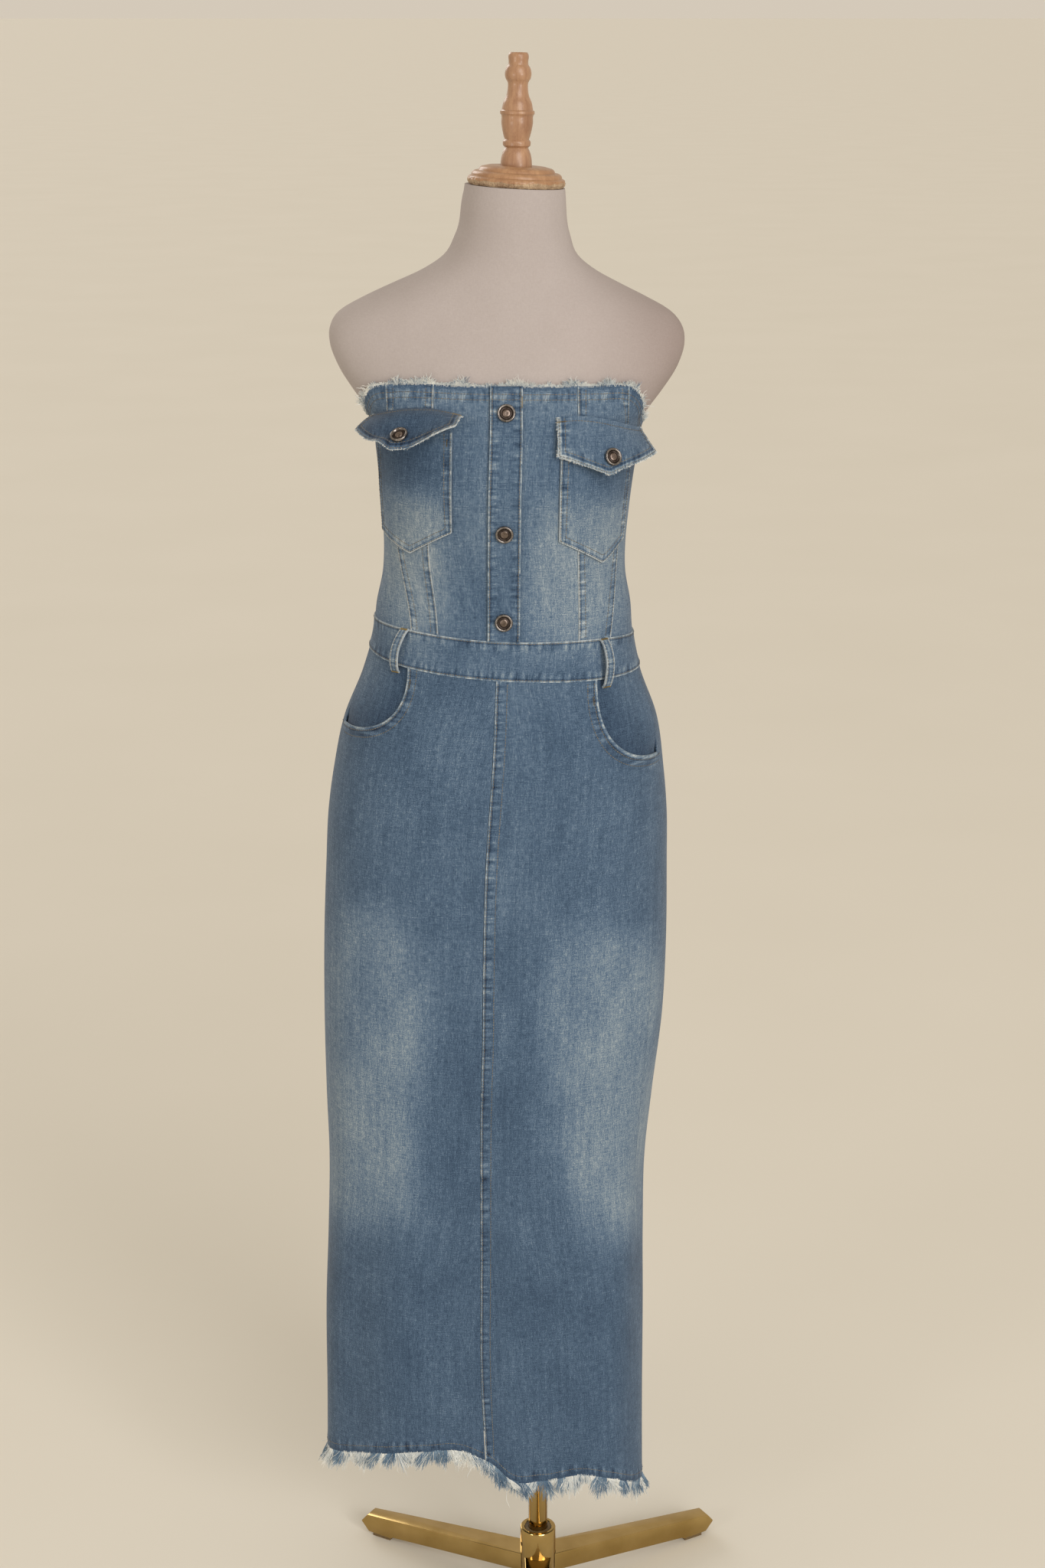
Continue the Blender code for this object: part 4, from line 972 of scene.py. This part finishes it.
# %% Frayed top
ENDS_PER_PLACE, CORNER_ENDS = 3, 46
for name, *_ in BODICE_PANELS:
    places, away, out = along_edge(f"bodice_{name}", "top", 0.00040)
    ends = []
    for place, up, face_out in zip(places, away, out):
        tuft = max(0.0, 0.45 + 1.5 * fine_noise(place * 90.0) + 0.7 * fine_noise(place * 380.0))
        for _ in range(ENDS_PER_PLACE):
            base = place + face_out * chance.uniform(0.0001, 0.0011)
            length = (0.0024 + 0.0062 * tuft) * chance.uniform(0.4, 1.15)
            cotton = BLUE if chance.random() < 0.16 else CREAM
            ends.append(loose_end(base, up, face_out, length, 0.60, chance.gauss(0, 0.6), material=cotton))
    for _ in range(int(len(places) / 9)):  # cross threads that lie tangled along the edge
        start = chance.randrange(0, max(1, len(places) - 12))
        stop = min(start + chance.randrange(12, 44), len(places) - 1)
        tangled = []
        for i in range(start, stop, 3):
            over = places[i] + out[i] * chance.uniform(0.0008, 0.0024)
            tangled.append(over + away[i] * chance.uniform(-0.0016, 0.0034))
        if len(tangled) > 2:
            ends.append(Strand(tangled, [1.0] * len(tangled), BLUE if chance.random() < 0.15 else CREAM))
    if name in ("side_left", "side_right"):  # longer ones at the front corners of the top
        for _ in range(CORNER_ENDS):
            i = int((0.25 + 0.5 * chance.random()) * len(places))
            length = chance.uniform(0.007, 0.015)
            ends.append(loose_end(places[i], away[i], out[i], length, 0.7, chance.gauss(0, 0.8), 7))
    node = f"bodice_{name}"
    make_strands(f"{node}_frayed_top", ends, 0.00023, COTTONS, f"{node}_top_fray")

# %% Fluffy free edges of the flaps
for side in FLAPS:
    ends = []
    for edge in ("foot", "left", "right"):
        for place, off, face_out in zip(*along_edge(f"pocket_flap_{side}", edge, 0.00050)):
            base = place + face_out * chance.uniform(0.0002, FLAP_WALL)
            tuft = max(0.0, 0.5 + fine_noise(place * 150.0))
            length = (0.0009 + 0.0016 * tuft) * chance.uniform(0.4, 1.2)
            lean = chance.gauss(0, 0.8)
            cotton = BLUE if chance.random() < 0.25 else CREAM
            ends.append(loose_end(base, off, face_out, length, 0.6, lean, 3, cotton))
    make_strands(f"pocket_flap_{side}_frayed_edge", ends, 0.00020, COTTONS)

# %% Fringed hem
LAYERS = 3
for name in SKIRT_PIECES:
    places, away, out = along_edge(name, "foot", 0.00042)
    ends, at = [], 0
    while at < len(places):  # tuft by tuft, each longest in its middle and gathered towards it
        count = chance.randrange(12, 34)
        tuft = range(at, min(at + count, len(places)))
        length, lean = chance.uniform(0.0190, 0.0285), chance.gauss(0, 0.35)
        white, flick = chance.random() < 0.48, chance.uniform(-0.1, 0.5)
        for i in tuft:
            share = (i - at) / count * 2 - 1
            for _ in range(LAYERS):
                base = places[i] + out[i] * chance.uniform(0.0, WALL)
                cotton = CREAM if chance.random() < (0.90 if white else 0.10) else BLUE
                reach = length * (1 - 0.45 * abs(share)) * chance.uniform(0.70, 1.05)
                gather = lean + share * 0.34 + chance.gauss(0, 0.08)
                way = away[i] + out[i] * flick
                ends.append(loose_end(base, way, out[i], reach, 0.12, gather, material=cotton))
        at += count
    for _ in range(int(len(places) / 90)):  # a few that hang lower and curl
        i = chance.randrange(len(places))
        length = chance.uniform(0.026, 0.036)
        ends.append(loose_end(places[i], away[i], out[i], length, 0.38, chance.gauss(0, 0.4), 9))
    make_strands(f"{name}_fringe", ends, 0.00024, COTTONS, f"{name}_hem_fringe")

# %% [markdown]
# ## How much cloth
#
# The size and area that each sheet was cut to are measured along the laid grid, and the loose threads
# that hang on it are looked up. The areas add up to the cloth that the dress is cut from.

# %% Sheets
LOOP_CUT_WIDTH = 0.0102  # a belt loop was cut a little wider, for its turned edges
whole_cut = 0.0
for node, cloth in laid.items():
    cells = np.cross(np.diff(cloth.face, axis=1)[:-1], np.diff(cloth.face, axis=0)[:, :-1])
    width, length = max(float(cloth.across.max()), LOOP_CUT_WIDTH), float(cloth.along.max())
    area = min(float(np.linalg.norm(cells, axis=-1).sum()), width * length)
    loose = [f"{node}_{kind}" for kind in ("frayed_top", "frayed_edge", "fringe")]
    loose = [name for name in loose if name in bpy.data.objects]
    whole_cut += area
print(f"{len(laid)} cloth pieces, cut from {whole_cut:.2f} m2")

# %% [markdown]
# ## Turned pieces
#
# The wooden cap and finial were turned on a lathe, and the buttons and the stand's hub are round too.
# Spinning a profile once round its axis makes each, as the lathe does. Only a few points of each profile
# are given; more are put on its curved runs, while its corners stay crisp.

# %% Helpers: a profile spun round
def smoothed(profile, parts=5, corner=42.0):
    """Puts more points on the curved runs of a profile of (radius, height) rows."""
    points = [Vector(row) for row in profile]
    steps = [end - start for start, end in zip(points, points[1:])]

    def heading(i, step):
        if 0 < i < len(steps) and steps[i - 1].angle(steps[i]) < math.radians(corner):
            return (steps[i - 1].normalized() + steps[i].normalized()).normalized()
        return step.normalized()

    rows = []
    for i, step in enumerate(steps):
        leave, arrive = heading(i, step) * step.length, heading(i + 1, step) * step.length
        rows += [eased(part / parts, points[i], leave, points[i + 1], arrive) for part in range(parts)]
    return rows + [points[-1]]


def spun(profile, steps=96):
    bm = bmesh.new()
    verts = [bm.verts.new((max(radius, 0.0), 0.0, height)) for radius, height in profile]
    edges = [bm.edges.new(pair) for pair in zip(verts, verts[1:])]
    bmesh.ops.spin(bm, geom=verts + edges, cent=(0, 0, 0), axis=(0, 0, 1), angle=math.tau, steps=steps,
                   use_merge=True)
    bmesh.ops.remove_doubles(bm, verts=bm.verts, dist=1e-6)
    bmesh.ops.recalc_face_normals(bm, faces=bm.faces)
    return bm


def standing(place, normal):
    """Turns a piece's own Z to a normal, and moves it to a place."""
    return Matrix.Translation(place) @ Vector(normal).to_track_quat("Z", "Y").to_matrix().to_4x4()


def rod(radius, length, matrix, segments):
    bm = bmesh.new()
    bmesh.ops.create_cone(bm, cap_ends=True, segments=segments, radius1=radius, radius2=radius, depth=length,
                          matrix=matrix)
    return bm


# %% [markdown]
# ## Buttons
#
# Snap caps of pressed copper alloy with an aged bronze finish: a polished rolled rim, a dark groove where
# the stain stays, and a flat disk in the middle that is rubbed a little brighter. Stain and grit are
# noise on the metal or plastic, and they change how it shines too, so one recipe does for all small parts.

# %% Materials: buttons
def grained(name, dark, light, rough, shine_change, grains, detail, stops, metallic):
    material, tree, shader = new_material(name, Metallic=metallic)
    grain = uneven(tree, add(tree, "TexCoord").outputs["Object"], (grains, grains, grains), detail)
    colour(tree, shader, sum_up(tree, 0.5, (grain, 1.0)), tuple(zip(stops, (dark, light))))
    feed(tree, shader, Roughness=sum_up(tree, rough, (grain, shine_change)))
    return material


STAINED_METAL = (0.25, 420.0, 3.0, (0.30, 0.72), 1.0)  # stains of 2 to 3 mm
bronze_rim = grained("aged_bronze_rim", "#625C58", "#989390", 0.26, *STAINED_METAL)
bronze_groove = grained("stained_bronze_groove", "#332D2B", "#524945", 0.42, *STAINED_METAL)
bronze_disk = grained("rubbed_bronze_disk", "#61564F", "#8F8179", 0.30, *STAINED_METAL)
print("bronze finishes: 3")

# %% Buttons
BUTTON_RADIUS, BUTTON_SHANK = 0.0091, 0.0008
BUTTON_PROFILE = (  # radius as a share of the button's, height above its back
    (0.00, 0.0029), (0.36, 0.0028), (0.42, 0.0025), (0.46, 0.0019), (0.64, 0.0018), (0.70, 0.0026),
    (0.77, 0.0034), (0.88, 0.0037), (0.96, 0.0033), (1.00, 0.0024), (0.99, 0.0012), (0.95, 0.0005),
    (0.80, 0.0002), (0.32, 0.0002), (0.30, -0.0009), (0.00, -0.0009),
)
PLACKET_BUTTONS = (1.3922, 1.2747, 1.1809)
FLAP_BUTTONS = {"left": (0.41, 0.66, 0.0012), "right": (0.62, 0.71, 0.0006)}  # across, down, clearance

DISK_SHARE, GROOVE_SHARE, GROOVE_FRONT = 0.44, 0.69, 0.001  # shares of the radius, and a height
RIM_SLOT, DISK_SLOT, GROOVE_SLOT = 0, 1, 2


def make_button(name, place, normal):
    bm = spun(smoothed([(share * BUTTON_RADIUS, height) for share, height in BUTTON_PROFILE], 4, 60.0), 56)
    for face in bm.faces:
        middle = face.calc_center_median()
        share = math.hypot(middle.x, middle.y) / BUTTON_RADIUS
        in_groove = share < GROOVE_SHARE and middle.z > GROOVE_FRONT
        face.material_index = DISK_SLOT if share < DISK_SHARE else GROOVE_SLOT if in_groove else RIM_SLOT
    bmesh.ops.transform(bm, matrix=standing(place, normal), verts=bm.verts)
    cap = show_mesh(f"{name}_cap", bm, bronze_rim, bronze_disk, bronze_groove)
    finish_piece(cap, name, 60.0)


centre_seam = seam(BODICE_SEAMS, 2)
for number, height in enumerate(PLACKET_BUTTONS, 1):
    turn = centre_seam(height)
    place = skin(turn, height, OVERLAY + DOUBLE_WALL + BUTTON_SHANK)
    make_button(f"placket_button_{number}", place, face_normal(turn, height))
for side, (across, down, shank) in FLAP_BUTTONS.items():
    u, reach = np.array(across), np.array(down)
    sideways = flap_place(side, u + 0.1, reach) - flap_place(side, u - 0.1, reach)
    downwards = flap_place(side, u, reach + 0.1) - flap_place(side, u, reach - 0.1)
    normal = unit(np.cross(downwards, sideways))
    make_button(f"flap_button_{side}", flap_place(side, u, reach) + normal * (WALL + shank), normal)
print("buttons:", len(PLACKET_BUTTONS) + len(FLAP_BUTTONS))

# %% [markdown]
# ## Dress form
#
# A padded torso under a stretched jersey cover of greige cotton. The knit is too fine to see from here,
# so the eye gets a soft mottling, a faint grain along the rows, and a matt fuzz at grazing angles. Soft
# blotches tint the cover, and a painted shade makes it darker and pinker towards the right shoulder. The
# dress's imagined surface, moved in, is the torso too, so the two never cross.

# %% Material: form cover
form_cover, tree, shader = new_material(
    "greige_cotton_jersey", Roughness=0.9, Specular_IOR_Level=0.2, Sheen_Weight=0.02, Sheen_Roughness=0.4)
position = add(tree, "TexCoord").outputs["Object"]
mottle = uneven(tree, position, (9.0, 9.0, 6.0), 3.0)  # 11 to 17 cm
blush = uneven(tree, position, (5.0, 5.0, 4.0), 1.0)  # 20 cm
grain = uneven(tree, position, (900.0, 900.0, 260.0))  # 1 x 4 mm, coarser than the knit so that it shows
rib = uneven(tree, position, (300.0, 300.0, 1100.0), 1.0)  # 3 x 1 mm rows
tone = sum_up(tree, 0.5, (rib, 0.22), (grain, 0.30), (mottle, 0.55))
greige = colour(tree, shader, tone, ((0.25, "#A29996"), (0.75, "#B4ACAA")))
# painted shade: darker and pinker towards the right shoulder, with random soft blotches added to it
painted_shade_to_the_right = sum_up(tree, -0.10, (add(tree, "SeparateXYZ", position), 7.0))
blotches_and_painted_shade = sum_up(tree, painted_shade_to_the_right, (blush, 1.2))
pinkish = add(tree, "Mix", blotches_and_painted_shade, data_type="RGBA", blend_type="MULTIPLY")
FIRST_COLOUR, SECOND_COLOUR, MIXED_COLOUR = 6, 7, 2  # a Mix node's colours come after its plain numbers
tree.links.new(greige.outputs[0], pinkish.inputs[FIRST_COLOUR])
pinkish.inputs[SECOND_COLOUR].default_value = linear("#E4DDDB")
feed(tree, shader, Base_Color=pinkish.outputs[MIXED_COLOUR])
emboss(tree, shader, sum_up(tree, 0.0, (rib, 0.00008), (grain, 0.00010)))
print("cover nodes:", len(tree.nodes))

# %% Torso
FORM_FOOT, FOOT_ROUNDING, FOOT_ROUNDED_TO = 0.800, 0.009, 0.010
NECK_TOP, CAP_TILT, CAP_X = 1.6060, math.radians(3.0), -0.0243
POLE_RADIUS, SOCKET_DEPTH = 0.0110, 0.060
pole_axis = Vector((STAND_X, STAND_Y, 0.0))
bm = bmesh.new()
bmesh.ops.create_grid(bm, x_segments=150, y_segments=190, size=0.5)
flat = np.array([vertex.co[:2] for vertex in bm.verts]) + 0.5
height = FORM_FOOT + (NECK_TOP - FORM_FOOT) * flat[:, 1]
rounding = FOOT_ROUNDING * np.clip(1 - (height - FORM_FOOT) / FOOT_ROUNDED_TO, 0.0, 1.0) ** 2
points = skin(flat[:, 0], height, -WALL - section_at(height)[:, 5] - rounding)
points[:, 2] = height
at_top = height > NECK_TOP - 1e-6
points[at_top, 2] -= (points[at_top, 0] - STAND_X - CAP_X) * math.tan(CAP_TILT)
for vertex, point in zip(bm.verts, points):
    vertex.co = point
bmesh.ops.remove_doubles(bm, verts=bm.verts, dist=0.00001)
bmesh.ops.holes_fill(bm, edges=[edge for edge in bm.edges if edge.is_boundary], sides=0)
bmesh.ops.recalc_face_normals(bm, faces=bm.faces)
torso = show_mesh("form_torso_cover", bm, form_cover)
form_foot = Matrix.Translation(pole_axis + Vector((0.0, 0.0, FORM_FOOT)))
socket = show_mesh("pole_socket", rod(POLE_RADIUS + GAP, 2 * SOCKET_DEPTH, form_foot, 48))
cut_with(torso, socket)
torso = finish_piece(torso, "form_torso", 40.0)
bpy.data.objects.remove(socket)
print("torso faces:", len(torso.data.polygons))

# %% [markdown]
# ## Cap and finial
#
# Turned beech under a thin satin varnish: long pale grain streaks upright, pores as short dark flecks, and
# soft patches where the varnish is thicker. The cap's lower rim has been knocked and its torn fibres are
# dry and pale, so its surface is roughened by noise, vertex by vertex, and gets a finish of its own.

# %% Materials: turned beech
def beech(name, dark, light, rough, torn=0.0):
    coat = 0.0 if torn else 0.35
    material, tree, shader = new_material(name, Roughness=rough, Coat_Weight=coat, Coat_Roughness=0.22)
    position = add(tree, "TexCoord").outputs["Object"]
    streaks = uneven(tree, position, (260.0, 260.0, 14.0), 4.0, 0.6)  # 4 mm wide, 7 cm long
    rings = uneven(tree, position, (70.0, 70.0, 5.0))  # 14 mm apart
    pores = uneven(tree, position, (1600.0, 1600.0, 160.0), 1.0)  # 0.6 x 6 mm
    patches = uneven(tree, position, (45.0, 45.0, 40.0))  # 2 cm
    tone = sum_up(tree, 0.5, (rings, 0.8), (streaks, 0.9), (patches, 0.5), (pores, 0.35 + torn))
    colour(tree, shader, tone, ((0.12, dark), (0.88, light)))
    emboss(tree, shader, sum_up(tree, 0.0, (pores, 0.00006 + 0.0012 * torn)))
    return material


cap_wood = beech("varnished_beech_cap", "#895E3C", "#B8906B", 0.50)
finial_wood = beech("varnished_beech_finial", "#7E543B", "#B48D6C", 0.42)
torn_wood = beech("torn_beech_fibres", "#7B5E47", "#CDB596", 0.95, 0.5)
print("beech finishes: 3")

# %% Cap and finial
CAP_PROFILE = (  # radius, height above the cap's underside
    (0.0, 0.0178), (0.0355, 0.0178), (0.0375, 0.0160), (0.0385, 0.0140), (0.0430, 0.0132),
    (0.0450, 0.0112), (0.0455, 0.0090), (0.0480, 0.0078), (0.0493, 0.0055), (0.0490, 0.0030),
    (0.0470, 0.0), (0.0, 0.0),
)
FINIAL_TILT, FINIAL_FOOT = math.radians(1.3), 1.6249
FINIAL_PROFILE = (  # radius, height above the finial's foot
    (0.0, 0.1100), (0.0085, 0.1100), (0.0099, 0.1078), (0.0099, 0.0985), (0.0118, 0.0955),
    (0.0132, 0.0900), (0.0124, 0.0850), (0.0103, 0.0813), (0.0101, 0.0755), (0.0113, 0.0685),
    (0.0141, 0.0621), (0.0153, 0.0565), (0.0155, 0.0550), (0.0171, 0.0538), (0.0171, 0.0514),
    (0.0159, 0.0495), (0.0158, 0.0430), (0.0152, 0.0384), (0.0137, 0.0315), (0.0122, 0.0266),
    (0.0138, 0.0245), (0.0138, 0.0208), (0.0115, 0.0185), (0.0135, 0.0145), (0.0151, 0.0085),
    (0.0157, 0.0030), (0.0157, 0.0), (0.0, 0.0),
)

RIM_RADIUS, BITTEN_BELOW, TORN_BELOW, BITE = 0.040, 0.0072, 0.0050, 0.0012
CHIPPED_ABOVE, CHIP = 0.1075, 0.0012


def place_turned(name, bm, foot, tilt, *woods):
    matrix = Matrix.Translation((STAND_X + CAP_X, STAND_Y, foot)) @ Matrix.Rotation(tilt, 4, "Y")
    bmesh.ops.transform(bm, matrix=matrix, verts=bm.verts)
    return finish_piece(show_mesh(f"{name}_turned", bm, *woods), name, 40.0)


cap = spun(smoothed(CAP_PROFILE, 5, 50.0), 220)
for vertex in cap.verts:
    radius = vertex.co.xy.length
    if radius > RIM_RADIUS and vertex.co.z < BITTEN_BELOW:
        bite = fine_noise(vertex.co * 260.0) + 0.6 * fine_noise(vertex.co * 900.0)
        inwards = 1 - max(0.0, bite + 0.15) * BITE / radius
        vertex.co.xy *= inwards
for face in cap.faces:
    middle = face.calc_center_median()
    ragged_height = middle.z + 0.0015 * fine_noise(middle * 120.0)
    face.material_index = int(ragged_height < TORN_BELOW and middle.xy.length > RIM_RADIUS)
place_turned("neck_cap", cap, NECK_TOP + GAP, CAP_TILT, cap_wood, torn_wood)

finial = spun(smoothed(FINIAL_PROFILE, 6, 44.0), 96)
for vertex in finial.verts:  # its top end is chipped
    if vertex.co.z > CHIPPED_ABOVE:
        vertex.co.z -= CHIP * max(0.0, fine_noise(vertex.co * 320.0))
place_turned("finial", finial, FINIAL_FOOT, FINIAL_TILT, finial_wood)
print("cap and finial turned")

# %% [markdown]
# ## Stand
#
# Brass tube and plate, polished and gold-plated, so it mirrors the lights in long streaks. Faint
# smudges change its roughness a little. The legs are cut plates: a bevel on their edges catches the
# light, which a sharp edge never does. The foot pads, the bushing and the set screw are small and plain,
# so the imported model's own meshes stay and only get their finish.

# %% Materials: gold plating, nylon, steel
gold_plating, tree, shader = new_material("polished_gold_plating", Metallic=1.0)
position = add(tree, "TexCoord").outputs["Object"]
smudge = uneven(tree, position, (28.0, 28.0, 28.0), 3.0)  # 36 mm, as from a palm
brushed = uneven(tree, position, (40.0, 40.0, 900.0), 1.0)  # 1 mm rings that the polishing left
colour(tree, shader, sum_up(tree, 0.5, (smudge, 1.2)), ((0.2, "#A38852"), (0.8, "#BBA069")))
feed(tree, shader, Roughness=sum_up(tree, 0.12, (brushed, 0.05), (smudge, 0.14)))
MOULDED = (0.2, 800.0, 2.0, (0.3, 0.7))  # grit of 1.3 mm, coarser than real so that it shows
dark_nylon = grained("moulded_dark_nylon", "#54432A", "#75603C", 0.5, *MOULDED, 0.0)
screw_steel = grained("blackened_screw_steel", "#26262A", "#45454A", 0.35, *MOULDED, 1.0)
for name in ("foot_pad_front", "foot_pad_left", "foot_pad_right", "pole_bushing", "hub_set_screw"):
    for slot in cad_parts[name].material_slots:
        slot.material = screw_steel if name == "hub_set_screw" else dark_nylon
print("stand finishes: 3")

# %% Pole
POLE_FOOT, SOFT_EDGE = 0.0205, 0.0006
pole_top = FORM_FOOT + SOCKET_DEPTH - 2 * GAP
pole_middle = Matrix.Translation(pole_axis + Vector((0.0, 0.0, (pole_top + POLE_FOOT) / 2)))
bm = rod(POLE_RADIUS, pole_top - POLE_FOOT, pole_middle, 72)
rims = [edge for edge in bm.edges if edge.calc_face_angle(0.0) > 1.0]
bmesh.ops.bevel(bm, geom=rims, offset=SOFT_EDGE, segments=2, profile=0.5, affect="EDGES", material=-1)
finish_piece(show_mesh("pole_tube", bm, gold_plating), "pole", 50.0)
print("pole:", round(pole_top - POLE_FOOT, 4), "m long")

# %% Hub
HUB_RADIUS, HUB_TOP, HUB_FOOT, HUB_FLOOR = 0.0205, 0.0810, 0.0120, 0.0200
BUSHING_RADIUS, BUSHING_FOOT = 0.0155, 0.0690
SCREW_RADIUS, SCREW_HEIGHT, SCREW_HOLE_DEPTH, SCREW_BEARING = 0.0024, 0.0610, 0.0080, math.radians(200)
bore, soft = POLE_RADIUS + GAP, SOFT_EDGE
HUB_PROFILE = (
    (0.0, HUB_FLOOR), (bore, HUB_FLOOR), (bore, BUSHING_FOOT), (BUSHING_RADIUS, BUSHING_FOOT),
    (BUSHING_RADIUS, HUB_TOP - soft), (BUSHING_RADIUS + soft, HUB_TOP), (HUB_RADIUS - 2 * soft, HUB_TOP),
    (HUB_RADIUS - soft, HUB_TOP - soft / 3), (HUB_RADIUS, HUB_TOP - 2 * soft),
    (HUB_RADIUS, HUB_FOOT + 2 * soft), (HUB_RADIUS - soft, HUB_FOOT + soft / 3),
    (HUB_RADIUS - 2 * soft, HUB_FOOT), (0.0, HUB_FOOT),
)
hub = spun(smoothed(HUB_PROFILE, 2, 10.0), 120)
bmesh.ops.translate(hub, verts=hub.verts, vec=pole_axis)
hub = show_mesh("hub_turned", hub, gold_plating)
outward = Vector((math.cos(SCREW_BEARING), math.sin(SCREW_BEARING), 0.0))
screw_mouth = pole_axis + Vector((0.0, 0.0, SCREW_HEIGHT)) + outward * HUB_RADIUS
drilled = rod(SCREW_RADIUS + GAP, 2 * SCREW_HOLE_DEPTH, standing(screw_mouth, outward), 32)
hole = show_mesh("screw_hole", drilled)
cut_with(hub, hole)
hub = finish_piece(hub, "hub", 35.0)
bpy.data.objects.remove(hole)
print("hub faces:", len(hub.data.polygons))

# %% Legs
LEG_BEARINGS = {"front": -90.0, "left": 150.0, "right": 30.0}  # degrees from +X
LEG_OUTLINE = (  # distance from the pole, height
    (0.008, 0.0255), (0.196, 0.0072), (0.199, 0.0050), (0.231, 0.0050), (0.2415, 0.0165), (0.2330, 0.0268),
    (0.008, 0.0480),
)
LEG_TIP = max(distance for distance, _ in LEG_OUTLINE)
LEG_ROOT_WIDTH, LEG_TIP_WIDTH, LEG_BEVEL = 0.0320, 0.0185, 0.0009
CUTTER_MIDDLE, CUTTER_LENGTH = 0.05, 0.20  # it goes past the hub above and below
hub_middle = Matrix.Translation(pole_axis + Vector((0.0, 0.0, CUTTER_MIDDLE)))
around_hub = show_mesh("around_hub", rod(HUB_RADIUS + GAP, CUTTER_LENGTH, hub_middle, 96))
for side, bearing in LEG_BEARINGS.items():
    bm = plate(LEG_OUTLINE, -LEG_ROOT_WIDTH / 2, LEG_ROOT_WIDTH)
    for vertex in bm.verts:
        vertex.co.y *= 1 + (LEG_TIP_WIDTH / LEG_ROOT_WIDTH - 1) * vertex.co.x / LEG_TIP
    bm.normal_update()  # a bevel goes by the faces' directions
    bmesh.ops.bevel(bm, geom=list(bm.edges), offset=LEG_BEVEL, segments=3, profile=0.5, affect="EDGES",
                    material=-1)
    turned = Matrix.Translation(pole_axis) @ Matrix.Rotation(math.radians(bearing), 4, "Z")
    bmesh.ops.transform(bm, matrix=turned, verts=bm.verts)
    leg = show_mesh(f"leg_{side}_plate", bm, gold_plating)
    cut_with(leg, around_hub)
    finish_piece(leg, f"leg_{side}", 35.0)
bpy.data.objects.remove(around_hub)
print("legs:", len(LEG_BEARINGS))

# %% [markdown]
# ## Stage
#
# The camera looks down so far that a wide pale floor fills the whole picture, and no wall hides the back
# from the other sides. A soft sun from the front right lights floor and object evenly, a weaker one
# from behind keeps the back from going dark, and two softboxes stand where the gilt stand mirrors them.

# %% Floor
FLOOR_HALF = 900.0  # metres: it has to reach the horizon
floor_paint, tree, shader = new_material("matt_floor_paint", Roughness=0.9)
patches = uneven(tree, add(tree, "TexCoord").outputs["Object"], (1.6, 1.6, 1.6), 3.0)  # 60 cm
colour(tree, shader, sum_up(tree, 0.5, (patches, 0.6)), ((0.2, "#D7D3C8"), (0.8, "#DCD8CE")))
bm = bmesh.new()
bmesh.ops.create_grid(bm, x_segments=8, y_segments=8, size=FLOOR_HALF)
studio_floor = show_mesh("studio_floor", bm, floor_paint)
print("floor:", 2 * FLOOR_HALF, "m wide")

# %% Lights
def stand_in_scene(name, data, place):
    item = bpy.data.objects.new(name, data)
    item.location = place
    bpy.context.scene.collection.objects.link(item)
    return item


world = bpy.data.worlds.new("studio")
bpy.context.scene.world = world
world.use_nodes = True
feed(world.node_tree, world.node_tree.nodes["Background"], Color=linear("#FFF2DF"), Strength=0.66)
LIGHTS = (  # name, kind, place, size (angle or metres), power
    ("key", "SUN", (1.3, -3.0, 2.3), math.radians(34), 1.26),
    ("rim", "SUN", (-1.6, 2.6, 2.2), math.radians(30), 0.75),
    ("softbox_right", "AREA", (1.5, -2.2, 1.5), 0.7, 14.0),
    ("softbox_left", "AREA", (-1.7, -2.0, 1.3), 0.6, 8.0),
)
LIT_MIDDLE = Vector((0.0, 0.05, 0.9))
for name, kind, place, size, power in LIGHTS:
    light = bpy.data.lights.new(name, kind)
    light.energy, light.color = power, linear("#FFFCF9")[:3]
    if kind == "SUN":
        light.angle = size
    else:
        light.shape, light.size = "DISK", size
    lamp = stand_in_scene(name, light, place)
    lamp.rotation_mode = "QUATERNION"
    lamp.rotation_quaternion = (LIT_MIDDLE - Vector(place)).to_track_quat("-Z", "Y")
print("lights:", len(LIGHTS))

# %% Camera
CAMERA_HEIGHT, CAMERA_DISTANCE, CAMERA_ASIDE, LOOKS_DOWN, LENS = 1.772, 2.665, -0.018, 16.5, 59.77
camera_data = bpy.data.cameras.new("camera")
camera_data.lens = LENS
seen_from = (STAND_X + CAMERA_ASIDE, STAND_Y - CAMERA_DISTANCE, CAMERA_HEIGHT)
camera = stand_in_scene("camera", camera_data, seen_from)
camera.rotation_euler = (math.radians(90.0 - LOOKS_DOWN), 0.0, 0.0)
bpy.context.scene.camera = camera
bpy.context.scene.view_settings.view_transform = "Standard"
print("camera:", [round(v, 3) for v in camera.location])
